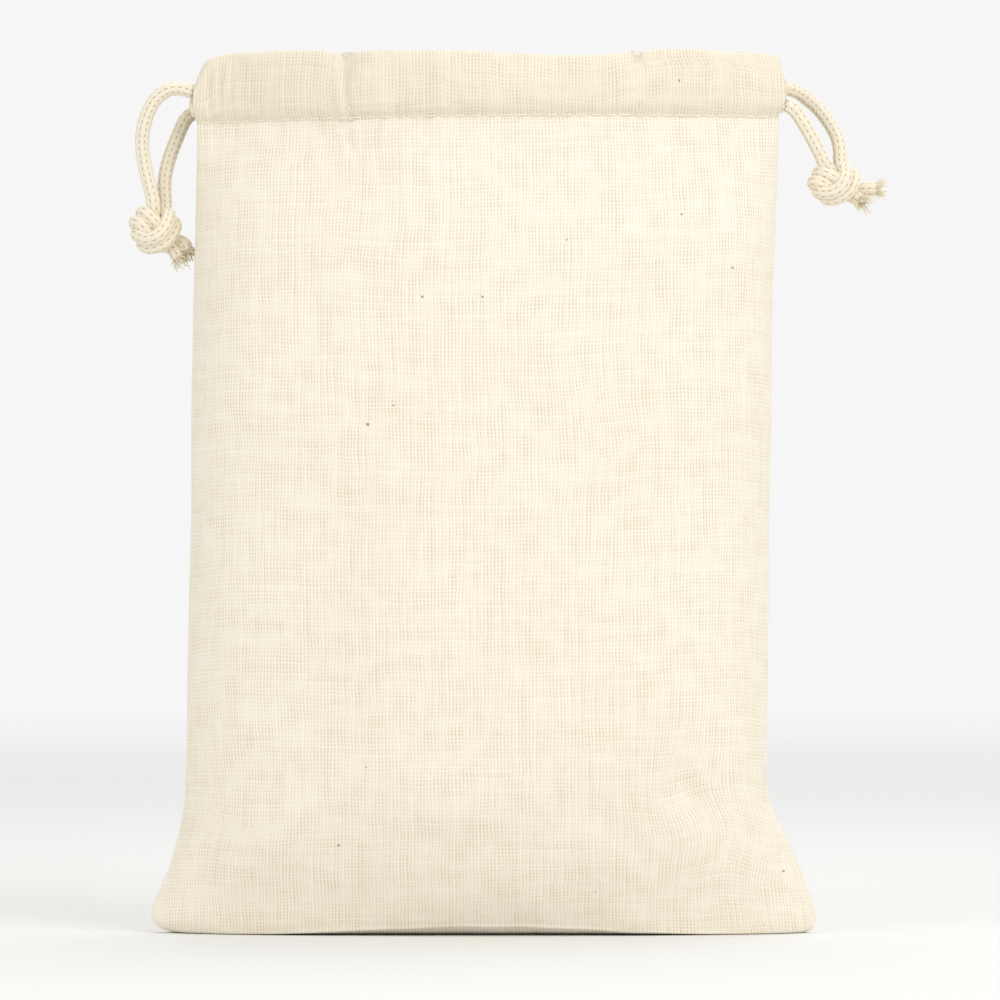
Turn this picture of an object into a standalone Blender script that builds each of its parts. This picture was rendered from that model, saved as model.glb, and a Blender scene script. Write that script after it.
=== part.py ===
"""A drawstring pouch of unbleached cotton muslin, standing open on its base.

Two sewn panels make the bag, and each carries its own casing, a hem folded into a tunnel.
Two knitted cotton drawstrings run round both casings, one leaving at each side, and the two
ends of each are tied in one knot. X runs across the front, Y to the back and Z up. The origin
is on the floor under the middle. Lengths are in metres.
"""

import math
from collections import namedtuple

import bpy
import numpy as np
from mathutils import Matrix, Vector

# Driving sizes
FLAT_WIDTH = 0.400  # the pouch laid flat, side seam to side seam
HEIGHT = 0.500  # floor to the fold along the mouth
DEPTH = 0.150  # front to back where it stands open widest
WALL = 0.0015  # the sewn cloth
LEAST_HALF = 0.3 * WALL  # half the tunnel's thickness under the fold, at its thinnest
SEAM_GAP = 0.0003  # between pieces that are sewn or tied together
CASING_HEIGHT = 0.038  # stitch line to the fold
CASING_LEAN = 0.0035  # how far the stitch line climbs from the left side to the right
MOUTH_DEPTH = 0.120  # front to back across the mouth
SLIT_WIDTH = 0.024  # between the middles of the front and back casings where they end
LENS_SQUARE = 2.2  # exponents of the mouth's outline in plan: how full it is in the middle,
LENS_POINT = 1.3  # and how far it draws in to a point at each end
BASE_ARCH = 0.0045  # how far the base is lifted at its middle
ARCH_REACH = 0.50  # the share of half FLAT_WIDTH at which the base meets the floor
ARCH_FADE = 0.15  # the share of HEIGHT at which that lift has died away
DENT_FADE = 0.06  # the share of HEIGHT under which the hollows die away
CORD = 0.008  # a drawstring's diameter
CORD_PLAY = 0.0010  # between a drawstring and its tunnel
LEVEL_STEP = 0.011  # from the lower drawstring in a casing to the upper one
TURN_FLATNESS = 0.75  # of the half turn that a drawstring makes from casing to casing

# How finely the cloth and the cords are drawn
PANEL_COLUMNS = 22
CASING_STATIONS = 24
END_CROWDING = 0.5  # how much closer together those stations are at a casing's ends
DIRECTION_STEP = 0.004  # of the way along a casing, for reading its direction
STRAND_STEP = 0.9 * CORD  # between the points of a free strand
KNOT_STEP = 0.3 * CORD  # between the points of the cord in a knot
KNOT_VOXEL = 0.0025

# The bag's outline, from the stitch line down to the seam under the base. height is a share of
# HEIGHT, left and right of half FLAT_WIDTH, and depth of half DEPTH. square is the section's
# exponent: 2 is an ellipse, more is boxier, less is a pointed lens. lip goes from 0 to 1 where
# the round section gives way to the mouth's.
Section = namedtuple("Section", "height left right depth square lip")
SECTIONS = [
    Section(0.922, 0.811, 0.836, 0.82, 2.2, 1.0),
    Section(0.895, 0.813, 0.836, 0.84, 2.2, 0.75),
    Section(0.850, 0.816, 0.834, 0.88, 2.2, 0.35),
    Section(0.790, 0.820, 0.829, 0.92, 2.3, 0.0),
    Section(0.700, 0.826, 0.822, 0.96, 2.3, 0.0),
    Section(0.600, 0.829, 0.819, 0.99, 2.4, 0.0),
    Section(0.490, 0.831, 0.814, 1.00, 2.4, 0.0),
    Section(0.380, 0.837, 0.811, 1.00, 2.4, 0.0),
    Section(0.270, 0.842, 0.808, 0.98, 2.3, 0.0),
    Section(0.200, 0.845, 0.805, 0.95, 2.2, 0.0),
    Section(0.150, 0.850, 0.814, 0.90, 2.1, 0.0),
    Section(0.108, 0.870, 0.862, 0.83, 2.0, 0.0),
    Section(0.075, 0.894, 0.898, 0.75, 1.9, 0.0),
    Section(0.042, 0.928, 0.932, 0.65, 1.7, 0.0),
    Section(0.018, 0.945, 0.945, 0.56, 1.7, 0.0),
    Section(0.005, 0.920, 0.938, 0.50, 1.8, 0.0),
    Section(0.000, 0.880, 0.915, 0.46, 1.9, 0.0),
    Section(0.000, 0.865, 0.900, 0.22, 1.9, 0.0),
    Section(0.000, 0.860, 0.895, 0.00, 1.9, 0.0),
]

# Soft hollows and swells of a panel. across is a share of the half width, up and tall of
# HEIGHT, wide of half FLAT_WIDTH, and press of DEPTH, inwards.
Dent = namedtuple("Dent", "across up wide tall lean press")
FRONT_DENTS = [
    Dent(-0.62, 0.74, 0.16, 0.17, 0.10, 0.020),
    Dent(0.48, 0.79, 0.18, 0.13, -0.25, 0.016),
    Dent(-0.20, 0.52, 0.22, 0.20, 0.15, -0.012),
    Dent(0.52, 0.47, 0.17, 0.16, 0.20, 0.014),
    Dent(0.66, 0.15, 0.12, 0.10, 0.80, 0.024),
    Dent(-0.55, 0.20, 0.20, 0.10, -0.45, 0.016),
    Dent(0.05, 0.12, 0.28, 0.07, 0.00, 0.014),
]
BACK_DENTS = [
    Dent(0.40, 0.72, 0.17, 0.16, -0.15, 0.020),
    Dent(-0.45, 0.60, 0.20, 0.18, 0.20, 0.014),
    Dent(0.10, 0.35, 0.24, 0.18, 0.10, -0.012),
    Dent(-0.60, 0.16, 0.14, 0.10, 0.70, 0.022),
    Dent(0.55, 0.18, 0.18, 0.10, -0.50, 0.016),
]

# The fold along the mouth, from the left end (-1) to the right end (1). drop is a share of
# CASING_HEIGHT, and pinch, of CORD, draws the cloth above the cords towards the back.
Crest = namedtuple("Crest", "across drop pinch")
CRESTS = [
    Crest(-1.00, 0.38, 0.00),
    Crest(-0.98, 0.20, -0.05),
    Crest(-0.95, 0.09, -0.10),
    Crest(-0.87, 0.03, 0.16),
    Crest(-0.78, 0.02, -0.06),
    Crest(-0.60, 0.00, 0.08),
    Crest(-0.50, 0.04, 0.34),
    Crest(-0.40, 0.01, -0.08),
    Crest(-0.10, 0.02, 0.06),
    Crest(0.20, 0.09, 0.20),
    Crest(0.36, 0.10, 0.02),
    Crest(0.50, 0.05, 0.38),
    Crest(0.62, 0.00, -0.10),
    Crest(0.85, 0.02, 0.14),
    Crest(1.00, 0.07, 0.00),
]

# A casing's section above the upper cord: rise as a share of the way to the fold, and half
# its thickness as a share of the roll's radius.
Taper = namedtuple("Taper", "rise half")
TAPERS = [Taper(0.0, 1.0), Taper(0.36, 0.84), Taper(0.68, 0.62), Taper(0.92, 0.36)]

# How far each end of a casing stands out past the bag, as shares of CASING_HEIGHT.
Flare = namedtuple("Flare", "rise left right")
FLARES = [
    Flare(0.00, 0.00, 0.00),
    Flare(0.14, 0.02, 0.03),
    Flare(0.28, 0.04, 0.09),
    Flare(0.50, 0.05, 0.10),
    Flare(0.80, 0.03, 0.03),
    Flare(1.00, 0.00, 0.00),
]
FLARE_START = 0.90  # of the way from the middle to the end of the casing

# The free strands, in cord diameters outward, back and up from where each leaves its casing.
# The first and last points are its ends.
Bend = namedtuple("Bend", "out back up")
LEFT_FRONT_STRAND = [
    Bend(0.00, 0.00, 0.00),
    Bend(0.60, 0.00, 0.18),
    Bend(1.30, 0.05, 0.28),
    Bend(2.00, 0.13, 0.10),
    Bend(2.70, 0.27, -0.45),
    Bend(3.25, 0.43, -1.35),
    Bend(3.60, 0.58, -2.45),
    Bend(3.72, 0.72, -3.60),
    Bend(3.60, 0.84, -4.75),
    Bend(3.34, 0.92, -6.00),
    Bend(3.06, 0.96, -7.10),
    Bend(2.92, 0.98, -7.90),
]
LEFT_BACK_STRAND = [
    Bend(0.00, 0.00, 0.00),
    Bend(0.25, 0.00, 0.02),
    Bend(0.72, -0.06, -0.42),
    Bend(1.12, -0.18, -1.25),
    Bend(1.58, -0.36, -2.42),
    Bend(1.94, -0.56, -3.52),
    Bend(2.16, -0.74, -4.65),
    Bend(2.17, -0.90, -5.75),
    Bend(2.12, -1.00, -6.50),
]
RIGHT_FRONT_STRAND = [
    Bend(0.00, 0.00, 0.00),
    Bend(0.30, 0.00, -0.05),
    Bend(0.75, 0.02, -0.42),
    Bend(1.18, 0.06, -1.02),
    Bend(1.68, 0.20, -1.85),
    Bend(2.15, 0.40, -2.70),
    Bend(2.52, 0.58, -3.40),
    Bend(2.72, 0.68, -3.85),
]
RIGHT_BACK_STRAND = [
    Bend(0.00, 0.00, 0.00),
    Bend(0.30, 0.01, 0.00),
    Bend(0.62, 0.18, -0.08),
    Bend(1.08, 0.42, -0.28),
    Bend(1.75, 0.52, -0.76),
    Bend(2.60, 0.30, -1.55),
    Bend(3.30, -0.20, -2.55),
    Bend(3.80, -0.66, -3.55),
    Bend(3.97, -0.98, -4.45),
    Bend(3.98, -1.10, -5.05),
]

# The overhand knot's course, in cord diameters from its middle, as the front shows it when
# its ends run up and down. The two strands lie either side of it along the pair direction.
Turn = namedtuple("Turn", "right up near pair_right pair_up pair_near")
KNOT_COURSE = [
    Turn(0.25, 0.95, -0.10, 0.9, 0.0, -0.45),
    Turn(0.05, 0.15, -0.40, 0.9, 0.2, -0.10),
    Turn(-0.40, -0.65, -0.25, 0.6, 0.6, 0.40),
    Turn(-0.92, -0.85, 0.50, 0.1, 0.9, 0.40),
    Turn(-0.25, -0.55, 1.20, -0.1, 1.0, 0.10),
    Turn(0.80, -0.10, 0.95, -0.2, 1.0, 0.00),
    Turn(1.25, 0.30, 0.00, -0.1, 1.0, 0.00),
    Turn(0.65, 0.45, -1.05, 0.0, 1.0, 0.00),
    Turn(-0.55, 0.50, -1.05, 0.1, 1.0, 0.00),
    Turn(-1.18, 0.68, -0.20, 0.3, 0.9, 0.00),
    Turn(-0.85, 0.90, 0.62, 0.6, 0.8, -0.20),
    Turn(-0.15, 0.60, 0.72, 0.8, 0.5, 0.30),
    Turn(0.38, -0.10, 0.40, 0.8, 0.4, 0.45),
    Turn(0.70, -0.85, 0.05, 0.8, 0.5, 0.30),
]
PAIR_HALF = 0.42  # from the course to each strand, in cord diameters
KNOT_HEART = 0.95  # radius of what the turns press into, in cord diameters

# Each knot's middle, in cord diameters from the end of its front strand, its lean about the
# line of sight in degrees, its height as a share of the course's, and how far past a strand's
# end its cord starts, as a share of KNOT_VOXEL.
Knot = namedtuple("Knot", "right back up lean tall entry")
LEFT_KNOT = Knot(0.10, 0.50, -1.80, -6, 1.0, 0.85)
RIGHT_KNOT = Knot(0.86, 0.66, -1.67, 8, 0.85, 0.45)

# The two tails that come out of each knot, in cord diameters from its middle.
Tail = namedtuple("Tail", "right up near")
LEFT_TAILS = [
    [Tail(1.15, -1.25, 0.30), Tail(1.62, -1.45, 0.42), Tail(1.90, -1.80, 0.40)],
    [Tail(0.95, -1.55, -0.45), Tail(1.35, -2.05, -0.60), Tail(1.52, -2.45, -0.60)],
]
RIGHT_TAILS = [
    [Tail(0.95, -1.45, 0.45), Tail(0.80, -1.95, 0.75), Tail(0.62, -2.30, 0.95)],
    [Tail(1.20, -1.35, -0.35), Tail(1.65, -1.90, -0.50), Tail(1.85, -2.40, -0.50)],
]


def clear_scene():
    for thing in list(bpy.data.objects):
        bpy.data.objects.remove(thing, do_unlink=True)


def principled(name, colour, roughness):
    material = bpy.data.materials.new(name)
    material.use_nodes = True
    shader = material.node_tree.nodes["Principled BSDF"]
    shader.inputs["Base Color"].default_value = (*colour, 1.0)
    shader.inputs["Roughness"].default_value = roughness
    shader.inputs["Metallic"].default_value = 0.0
    return material


def smooth_through(points, steps=6):
    """Points along a Catmull-Rom curve through the given ones, with steps of them to a span."""
    rows = np.array(points, dtype=float)
    ends = np.vstack([2 * rows[0] - rows[1], rows, 2 * rows[-1] - rows[-2]])
    found = []
    for i in range(len(rows) - 1):
        p0, p1, p2, p3 = ends[i : i + 4]
        for step in range(steps):
            t = step / steps
            bend = 2 * p0 - 5 * p1 + 4 * p2 - p3
            turn = 3 * p1 - p0 - 3 * p2 + p3
            found.append(0.5 * (2 * p1 + (p2 - p0) * t + bend * t**2 + turn * t**3))
    found.append(rows[-1])
    return np.array(found)


def evenly_along(points, spacing):
    """The same line as points about one spacing apart."""
    length = np.concatenate([[0], np.cumsum(np.linalg.norm(np.diff(points, axis=0), axis=1))])
    count = max(2, round(length[-1] / spacing) + 1)
    places = np.linspace(0, length[-1], count)
    return np.stack([np.interp(places, length, points[:, axis]) for axis in range(3)], 1)


def read_table(rows, key, value, at):
    """One column of a table, read at a place along another."""
    keys = [getattr(row, key) for row in rows]
    values = [getattr(row, value) for row in rows]
    return float(np.interp(at, keys, values))


def half_width(across, left, right):
    return (left if across < 0 else right) * FLAT_WIDTH / 2


def mouth_line(across, left, right):
    """A place on the mouth's outer line in plan, on the front: a lens with lips at its ends."""
    x = across * half_width(across, left, right)
    lens = (1 - abs(across) ** LENS_SQUARE) ** LENS_POINT
    return x, -(SLIT_WIDTH / 2 + (MOUTH_DEPTH - SLIT_WIDTH) / 2 * lens)


def round_line(angle, row):
    """A place on a section's outer line in plan, on the front."""
    reach = abs(math.sin(angle)) ** (2 / row.square)
    across = math.copysign(reach, angle)
    x = across * half_width(angle, row.left, row.right)
    return x, -row.depth * DEPTH / 2 * abs(math.cos(angle)) ** (2 / row.square)


def stitch_height(across):
    return SECTIONS[0].height * HEIGHT + across * CASING_LEAN / 2


def arch_at(x):
    """The lift of the base: none under the corners, most in the middle."""
    share = min(1.0, abs(x) / (ARCH_REACH * FLAT_WIDTH / 2))
    return BASE_ARCH * (0.5 + 0.5 * math.cos(math.pi * share))


def pressed(dents, across, height):
    """How far the cloth is pressed in at a place."""
    total = 0.0
    for dent in dents:
        up = height / HEIGHT - dent.up
        sideways = across - dent.across - dent.lean * up
        total += dent.press * math.exp(-((sideways / dent.wide) ** 2) - (up / dent.tall) ** 2)
    return total * DEPTH


def panel_outer(dents):
    """The front panel's outer surface as rows of points, from the stitch line to the base."""
    surface = []
    for row in SECTIONS:
        line = []
        for column in range(PANEL_COLUMNS + 1):
            angle = (column / PANEL_COLUMNS - 0.5) * math.pi
            x, y = round_line(angle, row)
            across = x / half_width(angle, row.left, row.right)
            lip_x, lip_y = mouth_line(across, row.left, row.right)
            x += row.lip * (lip_x - x)
            y += row.lip * (lip_y - y)
            low = max(0.0, 1 - row.height / ARCH_FADE)
            z = row.height * HEIGHT + arch_at(x) * low
            z += (stitch_height(across) - SECTIONS[0].height * HEIGHT) * row.lip
            fade = math.cos(angle) ** 0.5 * min(1.0, row.height / DENT_FADE) * (1 - row.lip)
            y += pressed(dents, across, z) * max(0.0, fade)
            line.append((x, min(y, -SEAM_GAP / 2), z - SEAM_GAP * row.lip))
        surface.append(line)
    return np.array(surface)


def surface_normals(surface):
    """Unit normals of a grid of points that face out of the front panel."""
    down = surface[1:, 1:] - surface[:-1, :-1]
    up = surface[:-1, 1:] - surface[1:, :-1]
    facing = np.cross(down, up)
    normals = np.zeros_like(surface)
    for rows in (slice(0, -1), slice(1, None)):
        for columns in (slice(0, -1), slice(1, None)):
            normals[rows, columns] += facing
    return normals / np.linalg.norm(normals, axis=2, keepdims=True)


def mesh_object(name, vertices, faces, material, smooth=True):
    mesh = bpy.data.meshes.new(name)
    mesh.from_pydata([tuple(map(float, v)) for v in vertices], [], faces)
    mesh.materials.append(material)
    mesh.update()
    if smooth:
        mesh.shade_smooth()
        mesh.set_sharp_from_angle(angle=math.radians(50))
    thing = bpy.data.objects.new(name, mesh)
    bpy.context.scene.collection.objects.link(thing)
    return thing


def grid_faces(rows, columns, start, turned):
    """Quads over a grid of points numbered row by row from start."""
    faces = []
    for row in range(rows - 1):
        for column in range(columns - 1):
            a = start + row * columns + column
            quad = (a, a + 1, a + columns + 1, a + columns)
            faces.append(quad[::-1] if turned else quad)
    return faces


def build_panel(name, dents, to_back, material):
    """A panel as a wall of cloth: its outer surface, its inner surface and its sewn edges."""
    outer = panel_outer(dents)
    inner = outer - surface_normals(outer) * WALL
    inner[:, :, 1] = np.minimum(inner[:, :, 1], -SEAM_GAP / 2)
    inner[0, :, 2] = outer[0, :, 2]
    if to_back:
        outer[:, :, 1] *= -1
        inner[:, :, 1] *= -1
    rows, columns = outer.shape[:2]
    count = rows * columns
    faces = grid_faces(rows, columns, 0, not to_back)
    faces += grid_faces(rows, columns, count, to_back)
    rim = [column for column in range(columns)]
    rim += [row * columns + columns - 1 for row in range(1, rows)]
    rim += [(rows - 1) * columns + column for column in range(columns - 2, -1, -1)]
    rim += [row * columns for row in range(rows - 2, 0, -1)]
    for here, there in zip(rim, rim[1:] + rim[:1]):
        quad = (here, there, there + count, here + count)
        faces.append(quad[::-1] if to_back else quad)
    vertices = np.vstack([outer.reshape(-1, 3), inner.reshape(-1, 3)])
    return mesh_object(name, vertices, faces, material)


def roll_radius():
    return CORD / 2 + CORD_PLAY + WALL


def lower_level():
    """The lower drawstring's middle, above the stitch line."""
    return roll_radius() + SEAM_GAP


def casing_outline(height, pinch, inset):
    """A casing's section as (outward, up) pairs from the stitch line, counter-clockwise."""
    radius = roll_radius() - inset
    low = lower_level()
    high = low + LEVEL_STEP
    side = [(radius * math.sin(a), low - radius * math.cos(a)) for a in np.radians([30, 60, 90])]
    for taper in TAPERS:
        half = max(taper.half * roll_radius() - inset, LEAST_HALF)
        side.append((half, high + taper.rise * (height - high)))
    other = [(-n, w) for n, w in reversed(side)]
    outline = [(0.0, low - radius), *side, (0.0, height - inset), *other]
    ride = [(n - pinch * max(0.0, (w - high) / (height - high)), w) for n, w in outline]
    return ride


def casing_station(across):
    """The casing's middle on the front in plan at the stitch line, and its outward direction."""
    top = SECTIONS[0]
    here = np.array(mouth_line(across, top.left, top.right))
    before = np.array(mouth_line(max(-1.0, across - DIRECTION_STEP), top.left, top.right))
    after = np.array(mouth_line(min(1.0, across + DIRECTION_STEP), top.left, top.right))
    along = (after - before) / np.linalg.norm(after - before)
    outward = np.array([along[1], -along[0]])
    return here - outward * WALL / 2, outward


def station_places():
    """Places along a casing, closer together towards its ends, where it bends most."""
    even = np.linspace(-1.0, 1.0, CASING_STATIONS)
    return (1 - END_CROWDING) * even + END_CROWDING * np.sin(even * math.pi / 2)


def build_casing(name, to_back, material):
    """A hem folded over into a tunnel that is open at both ends."""
    rings = {0.0: [], WALL: []}
    mirror = -1 if to_back else 1
    for across in station_places():
        middle, outward = casing_station(across)
        height = CASING_HEIGHT * (1 - read_table(CRESTS, "across", "drop", across))
        pinch = CORD * read_table(CRESTS, "across", "pinch", across)
        side = "left" if across < 0 else "right"
        reach = max(0.0, (abs(across) - FLARE_START) / (1 - FLARE_START)) ** 2
        for inset, made in rings.items():
            for n, w in casing_outline(height, pinch, inset):
                x, y = middle + outward * n
                flare = read_table(FLARES, "rise", side, w / height) * CASING_HEIGHT
                x += math.copysign(flare * reach, across)
                made.append((x, mirror * y, stitch_height(across) + w))
    outer, inner = (np.array(ring) for ring in rings.values())
    sides = len(casing_outline(CASING_HEIGHT, 0.0, 0.0))
    count = len(outer)
    faces = []
    for station in range(CASING_STATIONS - 1):
        for corner in range(sides):
            a = station * sides + corner
            b = station * sides + (corner + 1) % sides
            quad = (a, a + sides, b + sides, b)
            faces.append(quad[::-1] if to_back else quad)
            hole = tuple(v + count for v in quad[::-1])
            faces.append(hole[::-1] if to_back else hole)
    for station, flip in ((0, False), (CASING_STATIONS - 1, True)):
        for corner in range(sides):
            a = station * sides + corner
            b = station * sides + (corner + 1) % sides
            quad = (a, b, b + count, a + count)
            faces.append(quad[::-1] if flip != to_back else quad)
    return mesh_object(name, np.vstack([outer, inner]), faces, material)


def held_point(across, to_back, upper):
    """A place on a drawstring inside a casing."""
    middle, _ = casing_station(across)
    z = stitch_height(across) + lower_level() + (LEVEL_STEP if upper else 0.0)
    return np.array([middle[0], -middle[1] if to_back else middle[1], z])


def mouth_lead(side):
    """How far a casing's end stands out past its last station, as a step along X."""
    column = "left" if side < 0 else "right"
    return side * CASING_HEIGHT * max(getattr(row, column) for row in FLARES)


def cord_tube(name, points, material):
    curve = bpy.data.curves.new(name, "CURVE")
    curve.dimensions = "3D"
    curve.bevel_depth = CORD / 2
    curve.bevel_resolution = 2
    curve.use_fill_caps = True
    spline = curve.splines.new("POLY")
    spline.points.add(len(points) - 1)
    for point, place in zip(spline.points, points):
        point.co = (*place, 1.0)
    curve.materials.append(material)
    thing = bpy.data.objects.new(name, curve)
    bpy.context.scene.collection.objects.link(thing)
    return thing


def build_held_cord(name, side, upper_in_front, material):
    """A drawstring's stretch in both casings. side is -1 if its ends leave at the left, 1 at
    the right, and it turns from the front casing to the back one at the other side."""
    places = [side * -1 * across for across in station_places()]
    front = [held_point(across, False, upper_in_front) for across in places]
    back = [held_point(across, True, not upper_in_front) for across in reversed(places)]
    lead = np.array([mouth_lead(-side), 0, 0])
    start, end = front[-1] + lead, back[0] + lead
    middle = (start + end) / 2
    radius = abs(end[1] - start[1]) / 2
    turn = []
    for angle in np.radians([0, 30, 60, 90, 120, 150, 180]):
        x = middle[0] - side * radius * TURN_FLATNESS * math.sin(angle)
        y = middle[1] - radius * math.cos(angle)
        z = start[2] + (end[2] - start[2]) * angle / math.pi
        turn.append(np.array([x, y, z]))
    own = np.array([mouth_lead(side), 0, 0])
    return cord_tube(name, [front[0] + own, *front, *turn, *back, back[-1] + own], material)


def strand_course(side, to_back, upper, bends):
    """A free strand's line, from the mouth of its casing to the top of its knot."""
    start = held_point(side, to_back, upper)
    start = start + np.array([mouth_lead(side) + side * SEAM_GAP, 0, 0])
    reach = [CORD * np.array([side * bend.out, bend.back, bend.up]) for bend in bends]
    rows = [start + step for step in reach]
    line = evenly_along(smooth_through(rows), STRAND_STEP)
    squared = start + np.array([side * CORD / 8, 0, 0])
    return np.vstack([line[:1], squared, line[1:]])


def knot_frame(middle, knot):
    """Turns knot coordinates, right, up and near, into the pouch's own."""
    turn = Matrix.Rotation(math.radians(knot.lean), 3, Vector((0, -1, 0)))
    axes = Matrix(((1, 0, 0), (0, 0, -1), (0, knot.tall, 0)))
    return lambda place: np.array(middle) + CORD * np.array(turn @ (axes @ Vector(place)))


def tube_mesh(points, radius, sides=10):
    """Vertices and faces of a closed tube with flat ends along the points."""
    points = np.array(points)
    along = np.gradient(points, axis=0)
    along /= np.linalg.norm(along, axis=1, keepdims=True)
    normal = np.cross(along[0], [0.31, 0.87, 0.38])
    vertices = []
    for place, direction in zip(points, along):
        normal = normal - direction * np.dot(normal, direction)
        normal = normal / np.linalg.norm(normal)
        other = np.cross(direction, normal)
        for corner in range(sides):
            angle = 2 * math.pi * corner / sides
            vertices.append(place + radius * (math.cos(angle) * normal + math.sin(angle) * other))
    faces = [tuple(range(sides - 1, -1, -1))]
    last = len(vertices) - sides
    faces.append(tuple(range(last, last + sides)))
    for ring in range(len(points) - 1):
        for corner in range(sides):
            a = ring * sides + corner
            b = ring * sides + (corner + 1) % sides
            faces.append((a, b, b + sides, a + sides))
    return vertices, faces


def ball_mesh(middle, radius, rings=8, sides=12):
    """Vertices and faces of a ball."""
    points = []
    for ring in range(1, rings):
        slope = math.pi * ring / rings
        for corner in range(sides):
            angle = 2 * math.pi * corner / sides
            flat = radius * math.sin(slope)
            shift = (flat * math.cos(angle), flat * math.sin(angle), radius * math.cos(slope))
            points.append(np.array(middle) + shift)
    points.append(np.array(middle) + (0, 0, radius))
    points.append(np.array(middle) - (0, 0, radius))
    top, bottom = len(points) - 2, len(points) - 1
    faces = []
    for corner in range(sides):
        after = (corner + 1) % sides
        faces.append((top, corner, after))
        low = (rings - 2) * sides
        faces.append((bottom, low + after, low + corner))
        for ring in range(rings - 2):
            a, b = ring * sides + corner, ring * sides + after
            faces.append((a, a + sides, b + sides, b))
    return points, faces


def build_knot(name, strands, knot, tails, material):
    """The two strands of a drawstring tied together in an overhand knot, with their tails."""
    middle = strands[0][-1] + CORD * np.array([knot.right, knot.back, knot.up])
    place = knot_frame(middle, knot)
    vertices, faces = [], []
    shapes = []
    for sign, strand, tail in zip((-1, 1), strands, tails):
        heading = strand[-1] - strand[-2]
        entry = strand[-1] + heading / np.linalg.norm(heading) * knot.entry * KNOT_VOXEL
        rows = [entry]
        for turn in KNOT_COURSE:
            pair = np.array(turn[3:]) / np.linalg.norm(turn[3:])
            rows.append(place(np.array(turn[:3]) + sign * PAIR_HALF * pair))
        rows += [place(end) for end in tail]
        shapes.append(tube_mesh(evenly_along(smooth_through(rows), KNOT_STEP), CORD / 2))
    shapes.append(ball_mesh(middle, KNOT_HEART * CORD))
    for points, quads in shapes:
        start = len(vertices)
        vertices += list(points)
        faces += [tuple(start + corner for corner in quad) for quad in quads]
    thing = mesh_object(name, vertices, faces, material)
    remesh = thing.modifiers.new("drawn_tight", "REMESH")
    remesh.mode = "VOXEL"
    remesh.voxel_size = KNOT_VOXEL
    remesh.use_smooth_shade = True
    return thing


def build_pouch():
    clear_scene()
    muslin = principled("unbleached_muslin", (0.90, 0.83, 0.69), 0.9)
    hem = principled("muslin_casing", (0.87, 0.79, 0.64), 0.9)
    cotton = principled("knitted_cotton_cord", (0.82, 0.73, 0.58), 0.85)
    build_panel("front_panel", FRONT_DENTS, False, muslin)
    build_panel("back_panel", BACK_DENTS, True, muslin)
    build_casing("front_casing", False, hem)
    build_casing("back_casing", True, hem)
    build_held_cord("left_drawstring", -1, True, cotton)
    build_held_cord("right_drawstring", 1, False, cotton)
    left = [
        strand_course(-1, False, True, LEFT_FRONT_STRAND),
        strand_course(-1, True, False, LEFT_BACK_STRAND),
    ]
    right = [
        strand_course(1, False, False, RIGHT_FRONT_STRAND),
        strand_course(1, True, True, RIGHT_BACK_STRAND),
    ]
    cord_tube("left_front_strand", left[0], cotton)
    cord_tube("left_back_strand", left[1], cotton)
    cord_tube("right_front_strand", right[0], cotton)
    cord_tube("right_back_strand", right[1], cotton)
    build_knot("left_knot", left, LEFT_KNOT, LEFT_TAILS, cotton)
    build_knot("right_knot", right, RIGHT_KNOT, RIGHT_TAILS, cotton)


build_pouch()
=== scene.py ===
"""A drawstring pouch of unbleached muslin: its cloth, its knitted drawstrings and its knots.

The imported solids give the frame, and the pieces here lie in the same places with the detail
that the solids leave out. X runs across the front, Y to the back and Z up. Lengths are in
metres, and the course of a cord is given in cord diameters, as in the pouch's own solids.
"""

import math
from collections import namedtuple

import bpy
import numpy as np
from mathutils import Matrix, Vector


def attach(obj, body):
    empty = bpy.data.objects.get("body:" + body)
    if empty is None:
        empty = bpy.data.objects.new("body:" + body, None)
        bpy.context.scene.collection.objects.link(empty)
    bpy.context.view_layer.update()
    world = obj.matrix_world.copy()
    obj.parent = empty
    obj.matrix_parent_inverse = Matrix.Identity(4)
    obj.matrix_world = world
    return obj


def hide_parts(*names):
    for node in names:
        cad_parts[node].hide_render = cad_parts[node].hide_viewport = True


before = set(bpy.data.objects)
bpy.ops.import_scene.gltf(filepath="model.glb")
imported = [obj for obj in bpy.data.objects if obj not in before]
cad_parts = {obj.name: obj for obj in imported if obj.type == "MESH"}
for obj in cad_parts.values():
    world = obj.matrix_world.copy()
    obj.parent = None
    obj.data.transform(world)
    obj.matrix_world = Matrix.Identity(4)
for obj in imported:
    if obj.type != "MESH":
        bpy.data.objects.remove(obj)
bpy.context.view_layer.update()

# The pouch's sizes, as its solids have them
FLAT_WIDTH = 0.400
HEIGHT = 0.500
DEPTH = 0.150
SEAM_GAP = 0.0003
WALL = 0.0015
CLOTH = 0.0010  # the muslin's own thickness, seen at its edges
CASING_HEIGHT = 0.038
CASING_LEAN = 0.0035
MOUTH_DEPTH = 0.120
SLIT_WIDTH = 0.024
BASE_ARCH = 0.0045
ARCH_FADE = 0.15
CORD = 0.008
CORD_PLAY = 0.0010
LEVEL_STEP = 0.011
PAIR_HALF = 0.42
LENS_SQUARE = 2.2
LENS_POINT = 1.3
DENT_FADE = 0.06
END_CROWDING = 0.5
DIRECTION_STEP = 0.004
FLARE_START = 0.90

# Finer than the solids: the arch under the base reaches further out and closes behind its
# edge, and a drawstring's half turn lies flat in its slit.
ARCH_REACH = 0.72
BASE_EDGE_DEPTH = 0.46
ARCH_CLOSING = 5  # how fast the cloth behind the edge comes down to the floor
TURN_FLATNESS = 0.12

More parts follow.
